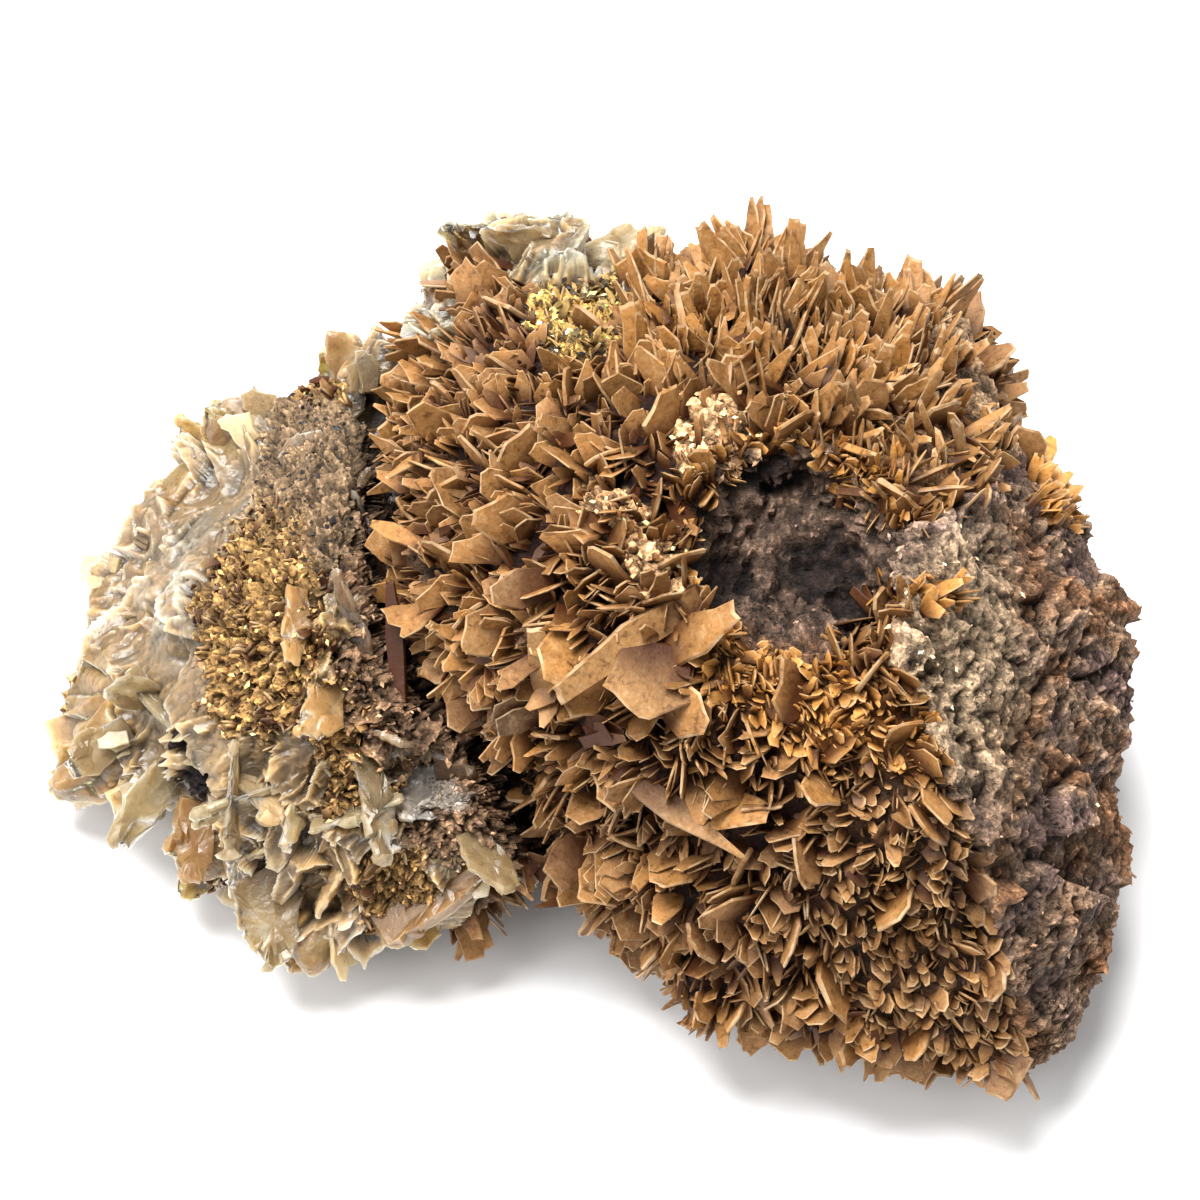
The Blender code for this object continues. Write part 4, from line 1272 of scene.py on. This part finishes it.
def ground_material():
    """Rough ground: the zones' colours with flecks and grain."""
    material, tree, shader = new_material("barite_ground", {"Metallic": 0.0, "Specular IOR Level": 0.18})
    tint = mark(tree, "tint", "Color")
    light, dark = brightened(tree, tint, 2.5), brightened(tree, tint, 0.1)
    flecks = place_group(tree, effects().flecks, Color=tint, Light=light, Dark=dark, Scale=1150.0, Amount=1.0)
    grain = place_group(
        tree, effects().grain, Color=flecks["Color"], Coarse=240.0, Fine=1300.0, Contrast=0.55,
    )
    surfaced(tree, shader, grain["Color"], scaled(tree, grain["Mask"], 0.45, 0.95))
    bumped(tree, shader, worked_out(tree, "ADD", grain["Height"], flecks["Height"]), 0.8, 0.0006)
    return material


def grain_material():
    """Loose grains and flecks: their own tints, a little gloss."""
    material, tree, shader = new_material("barite_grains", {"Metallic": 0.0, "Specular IOR Level": 0.3})
    tint = mark(tree, "tint", "Color")
    grain = place_group(tree, effects().grain, Color=tint, Coarse=500.0, Fine=2500.0, Contrast=0.3)
    surfaced(tree, shader, grain["Color"], scaled(tree, grain["Mask"], 0.3, 0.8))
    return material


def floor_material():
    """A plain white table."""
    material, tree, shader = new_material("white_table", {"Metallic": 0.0, "Roughness": 0.6})
    base = tuple(bpy.context.scene.barite_stage.table_colour)
    shade = scaled(tree, cloud(tree, 3.0, 2.0), 0.0, 0.05)
    tint = mixed(tree, shade, (*base, 1), (*(0.9 * part for part in base), 1))
    tree.links.new(tint, shader.inputs["Base Color"])
    return material


# Settings


def length_setting(name, description, default):
    """A length that a user may change."""
    return FloatProperty(name=name, description=description, default=default, min=0.0001, unit="LENGTH")


def colour_setting(name, description, default):
    """A colour that a user may change."""
    return FloatVectorProperty(name=name, description=description, default=default, size=3, min=0, max=1,
                               subtype="COLOR")


class BladeSettings(bpy.types.PropertyGroup):
    """Sizes and colours of the blades on the tall lobe."""

    leaf_spacing: length_setting("Leaf spacing", "Distance between bunches of broad blades", 0.0031)
    upright_spacing: length_setting("Upright spacing", "Distance between bunches of standing blades", 0.0027)
    gold_spacing: length_setting("Gold spacing", "Distance between the small gold blades", 0.00145)
    brown_spacing: length_setting("Brown spacing", "Distance between the small brown blades", 0.0016)
    lath_spacing: length_setting("Lath spacing", "Distance between the loose laths", 0.0020)
    tan: colour_setting("Tan", "Face of a broad blade", colour(186, 133, 76))
    warm: colour_setting("Warm tan", "Face of a blade in the orange-brown patches", colour(180, 124, 62))
    grey_tan: colour_setting("Grey tan", "Face of a dusty blade", colour(152, 111, 74))
    gold: colour_setting("Gold", "Face of a small gold blade", colour(230, 162, 82))
    brown: colour_setting("Brown", "Face of a small brown blade", colour(176, 128, 78))
    yellow: colour_setting("Yellow", "Tint of the shards in the yellow patch", colour(226, 186, 112))
    ochre: colour_setting("Ochre", "Crumbs on the pale lobe", colour(206, 160, 98))
    # Rim is a painted highlight on thin edges, Root painted shade at the foot of a blade
    rim: colour_setting("Rim", "Thin edge of a blade", colour(236, 204, 160))
    root: colour_setting("Root", "Painted shade at the foot of a blade", colour(70, 30, 8))


class PlateSettings(bpy.types.PropertyGroup):
    """Sizes and colours of the pale lobe's plates."""

    wall_spacing: length_setting("Wall spacing", "Distance between thin walls", 0.0125)
    sheet_spacing: length_setting("Sheet spacing", "Distance between bunches of flat sheets", 0.0160)
    # Rim is a painted highlight on thin edges, Root painted shade between the plates
    rim: colour_setting("Rim", "Thin edge of a plate", colour(236, 222, 192))
    root: colour_setting("Root", "Painted shade between the plates", colour(96, 66, 36))


class GroundSettings(bpy.types.PropertyGroup):
    """Grains that lie on the ground."""

    crumb_spacing: length_setting("Crumb spacing", "Distance between crumbs in the crushed patches", 0.0015)
    fleck_spacing: length_setting("Fleck spacing", "Distance between flecks on the bare rock", 0.0023)
    speck_spacing: length_setting("Speck spacing", "Distance between black specks on the pale lobe", 0.0018)


class StageSettings(bpy.types.PropertyGroup):
    """The table, the light and the camera."""

    table_colour: colour_setting("Table", "Colour of the table", (0.88, 0.88, 0.88))
    key_power: FloatProperty(
        name="Key light", description="Power of the large soft light", default=53.0, min=0, unit="POWER",
    )
    sky: FloatProperty(name="Sky", description="Strength of the light from all round", default=0.60, min=0)
    lens: FloatProperty(name="Lens", description="Focal length", default=127.27, min=20, unit="CAMERA")


# Operators


def kind_of_blade(**traits):
    """How one kind of blade grows, with what is usual for the tall lobe where nothing else is said.

    `follow` is how much it grows along the surface's normal, `lean` outwards from the heart, and `wander` at
    random. `shown` is how much its face turns to the viewer, `height` how far up from its foot the painted
    shade reaches.
    """
    usual = {
        "heart": np.array(BLADE_HEART), "follow": 0.6, "lean": 0.5, "wander": 0.34, "shown": 0.8,
        "bunch": (1, 3), "step": 1.0, "vary": 0.12, "sink": 1.2, "swirl_size": 7.0, "height": 4.2,
        "uneven": 0.25, "largest": 1.3,
    }
    return SimpleNamespace(**{**usual, **traits})


def tan_tint(ground, site):
    """The tan of a blade at a place: warmer and greyer patches, and painted shade on the lower front."""
    settings = bpy.context.scene.barite_blades
    point = ground.points[site]
    tan, warm, grey = (np.array(value) for value in (settings.tan, settings.warm, settings.grey_tan))
    patch = np.clip(0.5 + 1.3 * noise.noise(Vector(point) / 17.0), 0, 1)
    upright = ground.shares["upright"][site]
    tint = tan + (warm - tan) * np.clip(0.35 * patch + 0.75 * upright, 0, 1)
    dusty = np.clip(0.5 + 2.0 * noise.noise(Vector(point) / 11.0 + Vector((7, 7, 7))), 0, 1)
    # Grey dust in patches and in the grey zone, and below v = -25 painted shade on the front that faces down
    dusty = dusty * np.clip(0.35 + ground.shares["grey"][site] + 0.4 * (point[1] < -25), 0, 1)
    return tint + (grey - tint) * dusty


def ochre_tint(ground, site):
    """The tint of a crumb on the pale lobe: gold, and grey-brown in patches."""
    settings = bpy.context.scene.barite_blades
    gold, grey = np.array(settings.ochre), np.array(settings.grey_tan)
    patch = np.clip(0.35 + 1.6 * noise.noise(Vector(ground.points[site]) / 6.0), 0, 1)
    return gold + (0.6 * grey - gold) * patch


def plain_tint(name):
    """A tint that is one of the blades' colours."""
    return lambda ground, site: np.array(getattr(bpy.context.scene.barite_blades, name))


def blade_zones():
    """Which kind of blade each place of the ground carries."""
    shares = body().shares
    tall = shares["pale"] < 0.5
    bare = tall & ((shares["rock"] > 0.4) | (shares["pit"] > 0.45) | (shares["crust"] > 0.5))
    gold = tall & ~bare & (shares["gold"] > 0.5)
    brown = tall & ~bare & ~gold & (shares["brown"] > 0.5)
    laths = tall & ~bare & ~gold & ~brown & (shares["laths"] > 0.5)
    clear = (spot(body().points[:, 0], body().points[:, 1], CLEAR) > 0.5) & (body().directions[:, 2] > 0)
    crushed = tall & ~bare & ((shares["crushed"] > 0.5) | (shares["yellow"] > 0.05) | clear)
    upright = tall & ~bare & ~gold & ~brown & ~laths & ~crushed & (shares["upright"] > 0.5)
    leaf = tall & ~bare & ~gold & ~brown & ~laths & ~crushed & ~upright & (shares["crevice"] < 0.75)
    return SimpleNamespace(
        tall=tall, bare=bare, gold=gold, brown=brown, laths=laths, crushed=crushed, upright=upright,
        leaf=leaf,
    )


class BARITE_OT_ground(bpy.types.Operator):
    """Make the rough ground of both lobes and the bare rock"""

    bl_idname = "barite.ground"
    bl_label = "Ground"

    def execute(self, context):
        ground = body()
        shares = ground.shares
        tint = ground_tint()
        material = ground_material()
        middle = ground.points[ground.faces].mean(axis=1)
        pale = shares["pale"][ground.faces].mean(axis=1) > 0.5
        crumbly = most(shares, "druse", "ochre", "matrix", "hematite")[ground.faces].mean(axis=1)
        smooth_pale = pale & (crumbly < 0.5)
        rock = ~pale & (middle[:, 0] > ROCK_SIDE)
        groups = {
            "pale_ground": (smooth_pale, pale_material("barite_pale_ground")),
            "crumbly_ground": (pale & ~smooth_pale, material),
            "bare_rock": (rock, material),
            "bladed_ground": (~pale & ~rock, material),
        }
        for name, (chosen, finish) in groups.items():
            corners, faces = np.unique(ground.faces[chosen], return_inverse=True)
            faces = faces.reshape(-1, 3)
            finished_piece(
                name, finish, 50, ground.points[corners], faces, np.zeros(len(faces)), np.ones(len(corners)),
                tint[corners],
            )
        return {"FINISHED"}


class BARITE_OT_large_crystals(bpy.types.Operator):
    """Make the largest crystals, which the solid also has, and the plates that stand out in the picture"""

    bl_idname = "barite.large_crystals"
    bl_label = "Large crystals"

    def execute(self, context):
        rng = np.random.default_rng(5)
        tan, pale = [], []
        for outline, root, growth, face, size, normal in large_crystals():
            near = ground_tree().find(root)[1]
            is_pale = body().shares["pale"][near] > 0.5
            template = blade_template(outline, 2, 0.10, 0.09, 0.25, rng)
            tint = (place_tint if is_pale else tan_tint)(body(), near) * rng.uniform(0.9, 1.1)
            thin = (0.8, 0.9, 0.5) if is_pale else (1.0, 1.0, 0.6)
            buried = 3.5 if is_pale else 1.0
            sizes = [whole * share for whole, share in zip(size, thin)]
            crystal = (template, root - buried * normal, growth, face, sizes, tint, normal / 5.0)
            (pale if is_pale else tan).append(crystal)
        sheets = []
        lists = ((SHOWN_PLATES, BLADE_TONES, tan), (SHOWN_SHEETS, SHEET_TONES, sheets))
        for shown, tones, crystals in lists:
            for u, v, heading, lift, turn, length, width, thickness, tone in shown:
                growth, face = headed(heading, lift, turn)
                template = blade_template(any_outline(rng, PLATE_ROOT / length), 3, 0.05, 0.06, 0.1, rng)
                root = np.array([u, v, face_depth(u, v) + PLATE_RISE])
                sizes, tint = [width, length, thickness], np.array(tones[tone])
                crystals.append((template, root, growth, face, sizes, tint, np.array([0, 0, 0.2])))
        add_crystals("large_blades", blade_material("barite_large_blades", 0.45, 0.25), 30, tan)
        add_crystals("shown_sheets", pale_material("barite_shown_sheets"), 30, sheets, wear=0.7)
        add_crystals("large_plates", pale_material("barite_large_plates"), 30, pale, wear=1.0)
        return {"FINISHED"}


class BARITE_OT_broad_blades(bpy.types.Operator):
    """Make the broad tan blades and the standing ones"""

    bl_idname = "barite.broad_blades"
    bl_label = "Broad blades"

    def execute(self, context):
        settings = context.scene.barite_blades
        zones = blade_zones()
        material = blade_material("barite_tan_blades", 0.5, 0.22)
        leaves = templates(any_outline, 60, 2, 0.08, 0.05, 0.5, 21)
        chips = templates(any_outline, 60, 1, 0.0, 0.12, 0.3, 29)
        leaf = kind_of_blade(
            width=(2.0, 6.0), length=(4.0, 7.2), thickness=(0.3, 0.6), tint=tan_tint, shown=0.6,
            height=5.5, vary=0.2, wander=0.4, swirl_size=5.5, uneven=0.32,
        )
        sites = spread(zones.leaf, settings.leaf_spacing / MM, 22)
        add_crystals("broad_blades", material, 28, grown(sites, leaf, leaves, 23))
        sliver = kind_of_blade(
            width=(0.8, 2.4), length=(2.0, 4.6), thickness=(0.22, 0.45), tint=tan_tint, shown=0.2,
            wander=0.6, bunch=(1, 3), swirl_size=4.0, height=5.0, vary=0.25, sink=-0.4,
        )
        sites = spread(zones.leaf | zones.upright, 0.98 * settings.leaf_spacing / MM, 24)
        add_crystals("blade_chips", material, 28, grown(sites, sliver, chips, 25))
        standing = kind_of_blade(
            width=(1.6, 4.4), length=(5.5, 9.5), thickness=(0.4, 0.75), tint=tan_tint, wander=0.3,
            lean=0.75, follow=0.5, sink=1.2, vary=0.18, height=6.0,
        )
        sites = spread(zones.upright, settings.upright_spacing / MM, 26)
        uprights = templates(any_outline, 50, 3, 0.08, 0.10, 0.4, 27)
        add_crystals("standing_blades", material, 28, grown(sites, standing, uprights, 28))
        return {"FINISHED"}


class BARITE_OT_small_blades(bpy.types.Operator):
    """Make the small gold and brown blades and the loose laths"""

    bl_idname = "barite.small_blades"
    bl_label = "Small blades"

    def execute(self, context):
        settings = context.scene.barite_blades
        zones = blade_zones()
        ground = body()
        small = templates(any_outline, 40, 1, 0.0, 0.16, 0.4, 31)
        laths = templates(lath_outline, 20, 2, 0.04, 0.20, 0.0, 32)
        gold = kind_of_blade(
            width=(1.1, 2.6), length=(1.8, 3.6), thickness=(0.3, 0.55), tint=plain_tint("gold"),
            wander=0.45, shown=0.5, bunch=(1, 3), vary=0.16, step=0.8, swirl_size=3.0, sink=0.4,
            height=2.4,
        )
        brown = kind_of_blade(
            width=(1.4, 3.2), length=(1.8, 3.8), thickness=(0.3, 0.5), tint=plain_tint("brown"),
            wander=0.45, shown=0.5, bunch=(1, 2), vary=0.18, step=0.8, swirl_size=3.0, sink=0.3,
            height=2.4,
        )
        lath = kind_of_blade(
            width=(0.9, 1.9), length=(4.5, 9.0), thickness=(0.4, 0.8), tint=plain_tint("tan"),
            wander=0.8, follow=0.35, lean=0.3, shown=0.5, bunch=(1, 2), vary=0.16,
        )
        made = grown(spread(zones.gold, settings.gold_spacing / MM, 33), gold, small, 34)
        made += grown(spread(zones.brown, settings.brown_spacing / MM, 35), brown, small, 36)
        edge = (ground.shares["pit"] > 0.1) & (ground.shares["pit"] < 0.5) & zones.tall & ~zones.bare
        made += grown(spread(edge, 2.0, 37), gold, small, 38)
        yellow_shard = kind_of_blade(
            width=(0.6, 1.6), length=(1.2, 2.6), thickness=(0.2, 0.4), tint=plain_tint("yellow"),
            wander=0.8, shown=0.4, bunch=(1, 2), vary=0.25, step=0.6, swirl_size=2.0, height=1.6,
            uneven=0.4,
        )
        clear = spot(ground.points[:, 0], ground.points[:, 1], CLEAR)
        in_yellow = (np.maximum(ground.shares["yellow"], clear) > 0.5) & (ground.directions[:, 2] > 0)
        made += grown(spread(in_yellow, 1.3, 45), yellow_shard, small, 46)
        tuft = kind_of_blade(
            width=(1.1, 2.6), length=(2.8, 5.6), thickness=(0.3, 0.55), tint=plain_tint("gold"),
            wander=0.5, shown=0.5, bunch=(1, 3), vary=0.2, step=0.8, swirl_size=3.0,
        )
        tufts = in_spots(ground.points[:, 0], ground.points[:, 1], TUFTS) > 0.5
        made += grown(spread(tufts & (ground.directions[:, 2] > 0), 1.6, 47), tuft, small, 48)
        crumb = kind_of_blade(
            width=(0.4, 1.3), length=(0.5, 1.6), thickness=(0.2, 0.45), tint=ochre_tint, wander=0.9,
            shown=0.2, bunch=(1, 2), vary=0.35, step=0.6, swirl_size=2.0, sink=0.5, height=1.6,
            uneven=0.45, largest=1.9,
        )
        orange = (ground.shares["ochre"] > 0.4) & (ground.directions[:, 2] > -0.3)
        made += grown(spread(orange, 1.5, 39), crumb, small, 40)
        add_crystals("small_blades", blade_material("barite_small_blades", 0.45, 0.25), 28, made)
        made = grown(spread(zones.laths, settings.lath_spacing / MM, 41), lath, laths, 42)
        loose = (zones.crushed & (ground.shares["crushed"] > 0.5)) | zones.upright
        made += grown(spread(loose, 5.5, 43), lath, laths, 44)
        add_crystals("laths", blade_material("barite_laths", 0.4, 0.22), 28, made)
        return {"FINISHED"}


def place_tint(ground, site):
    """The ground's colour, its painted shade and highlight included, so that a plate looks like part of it.
    """
    return ground_tint()[site] * PLATE_LIGHT


class BARITE_OT_pale_plates(bpy.types.Operator):
    """Make the pale lobe's thin plates, which stand half sunk in its cleaved mass"""

    bl_idname = "barite.pale_plates"
    bl_label = "Pale plates"

    def execute(self, context):
        settings = context.scene.barite_plates
        ground = body()
        shares = ground.shares
        crumbly = most(shares, "druse", "ochre", "matrix")
        pale = (shares["pale"] > 0.5) & (crumbly < 0.5)
        pale = pale & (shares["glassy"] < 0.4) & (shares["hematite"] < 0.1)
        ragged = templates(any_outline, 50, 3, 0.09, 0.06, 0.5, 52)
        wall = kind_of_blade(
            width=(3.4, 7.0), length=(3.2, 5.4), thickness=(0.5, 0.9), tint=place_tint,
            heart=np.array(PALE_HEART), follow=0.7, lean=0.6, wander=0.25, shown=0.2, bunch=(1, 2),
            vary=0.08, step=1.8, sink=3.0, swirl_size=13.0, height=3.0, uneven=0.35,
        )
        sheet = kind_of_blade(
            width=(3.0, 6.0), length=(2.6, 4.6), thickness=(0.5, 1.0), tint=place_tint,
            heart=np.array(PALE_HEART), follow=0.25, lean=0.8, wander=0.2, shown=1.6, bunch=(1, 3),
            vary=0.08, step=1.0, sink=1.9, swirl_size=16.0, height=2.0, uneven=0.35,
        )
        open_cells = pale & (shares["frosted"] < 0.4) & (shares["honey"] < 0.4)
        made = grown(spread(open_cells, settings.wall_spacing / MM, 53), wall, ragged, 54)
        made += grown(spread(open_cells, settings.sheet_spacing / MM, 55), sheet, ragged, 56)
        add_crystals("pale_sheets", pale_material("barite_pale_sheets"), 35, made)
        return {"FINISHED"}


class BARITE_OT_grains(bpy.types.Operator):
    """Make the crumbs, flecks and specks"""

    bl_idname = "barite.grains"
    bl_label = "Grains"

    def execute(self, context):
        settings = context.scene.barite_ground
        ground = body()
        shares = ground.shares
        rng = np.random.default_rng(61)
        shards = [shard_template(rng) for _ in range(40)]
        tint = ground_tint()
        crumbly = most(shares, "crushed", "yellow", "ochre", "matrix", "grey", "laths")
        pit_rim = np.exp(-(((shares["pit"] - 0.45) / 0.35) ** 2)) * (shares["pit"] > 0.05)
        crumbly = np.maximum(crumbly, pit_rim)
        rocky = most(shares, "rock", "crust", "pit")
        made = []
        specked = (most(shares, "druse", "yellow") > 0.4) & (ground.directions[:, 2] > 0)
        in_yellow = (shares["yellow"] > 0.4) & (ground.directions[:, 2] > 0)
        for sites, sizes, light, rise in (
            (spread(crumbly > 0.5, settings.crumb_spacing / MM, 62, 0.1), (0.4, 1.0), 1.3, 0),
            (spread(rocky > 0.5, settings.fleck_spacing / MM, 63, 0.2), (0.35, 0.8), 1.15, 0),
            (spread(specked, settings.speck_spacing / MM, 64, 0.2), (0.45, 0.95), SPECK_LIGHT, 0),
            (spread(in_yellow, settings.speck_spacing / MM, 65, 0.2), (0.6, 1.2), SPECK_LIGHT, SPECK_RISE),
        ):
            for site, place in sites:
                size = rng.uniform(*sizes) * rng.uniform(0.6, 1.3)
                normal = ground.normals[site]
                growth = rng.normal(size=3)
                growth = unit(growth + (0.25 - 0.8 * np.dot(growth, normal)) * normal)
                bright = light * math.exp(0.5 * rng.normal())
                made.append((
                    shards[rng.integers(len(shards))], place + (rise - 0.15 * size) * normal, growth, normal,
                    (size, 1.2 * size, rng.uniform(0.4, 0.9) * size), np.clip(tint[site] * bright, 0.01, 0.8),
                    normal,
                ))
        add_crystals("grains", grain_material(), 20, made)
        return {"FINISHED"}


class BARITE_OT_stage(bpy.types.Operator):
    """Make the table, the lights and the camera"""

    bl_idname = "barite.stage"
    bl_label = "Stage"

    def execute(self, context):
        settings = context.scene.barite_stage
        mesh = bpy.data.meshes.new("table")
        shape = bmesh.new()
        bmesh.ops.create_grid(shape, x_segments=1, y_segments=1, size=TABLE_HALF)
        shape.to_mesh(mesh)
        shape.free()
        table = bpy.data.objects.new("table", mesh)
        table.location.z = -TABLE_GAP
        mesh.materials.append(floor_material())
        context.scene.collection.objects.link(table)

        for name, place, size, power in SOFT_LIGHTS:
            light = bpy.data.lights.new(name, "AREA")
            light.shape = "DISK"
            light.size = size
            light.energy = settings.key_power * power
            lamp = bpy.data.objects.new(name, light)
            lamp.location = place
            aim = Vector((0, 0, LIGHT_AIM)) - Vector(place)
            lamp.rotation_euler = aim.to_track_quat("-Z", "Y").to_euler()
            context.scene.collection.objects.link(lamp)

        world = bpy.data.worlds.new("white_room")
        world.use_nodes = True
        background = world.node_tree.nodes["Background"]
        background.inputs["Color"].default_value = (1.0, 1.0, 1.0, 1)
        background.inputs["Strength"].default_value = settings.sky
        context.scene.world = world

        camera = bpy.data.cameras.new("camera")
        camera.lens = settings.lens
        camera.sensor_width = 36.0
        viewer = bpy.data.objects.new("camera", camera)
        viewer.location = place_in_row(*(np.array([value]) for value in (0.0, VIEW_AIM_V, VIEW_DISTANCE)))[0]
        viewer.rotation_euler = (math.radians(90) - VIEW_ELEVATION, 0, 0)
        context.scene.collection.objects.link(viewer)
        context.scene.camera = viewer
        context.scene.view_settings.view_transform = "Standard"
        return {"FINISHED"}


class BARITE_PT_panel(bpy.types.Panel):
    """The specimen's pieces, in the 3D view's sidebar"""

    bl_idname = "BARITE_PT_panel"
    bl_label = "Bladed barite"
    bl_space_type = "VIEW_3D"
    bl_region_type = "UI"
    bl_category = "Barite"

    def draw(self, context):
        for operator in OPERATORS:
            self.layout.operator(operator.bl_idname)
        for group in SETTINGS:
            box = self.layout.box()
            values = getattr(context.scene, group)
            for name in SETTINGS[group].__annotations__:
                box.prop(values, name)


SETTINGS = {
    "barite_blades": BladeSettings, "barite_plates": PlateSettings, "barite_ground": GroundSettings,
    "barite_stage": StageSettings,
}
OPERATORS = (
    BARITE_OT_ground, BARITE_OT_large_crystals, BARITE_OT_broad_blades, BARITE_OT_small_blades,
    BARITE_OT_pale_plates, BARITE_OT_grains, BARITE_OT_stage,
)


def register():
    """Make the settings, the operators and the panel known."""
    for kind in (*SETTINGS.values(), *OPERATORS, BARITE_PT_panel):
        bpy.utils.register_class(kind)
    for name, kind in SETTINGS.items():
        setattr(bpy.types.Scene, name, PointerProperty(type=kind))


def unregister():
    """Take them away again."""
    for name in SETTINGS:
        delattr(bpy.types.Scene, name)
    for kind in (BARITE_PT_panel, *reversed(OPERATORS), *reversed(SETTINGS.values())):
        bpy.utils.unregister_class(kind)


def main():
    """Make the whole scene."""
    register()
    bpy.ops.barite.ground()
    bpy.ops.barite.large_crystals()
    bpy.ops.barite.broad_blades()
    bpy.ops.barite.small_blades()
    bpy.ops.barite.pale_plates()
    bpy.ops.barite.grains()
    bpy.ops.barite.stage()


if __name__ == "__main__":
    main()
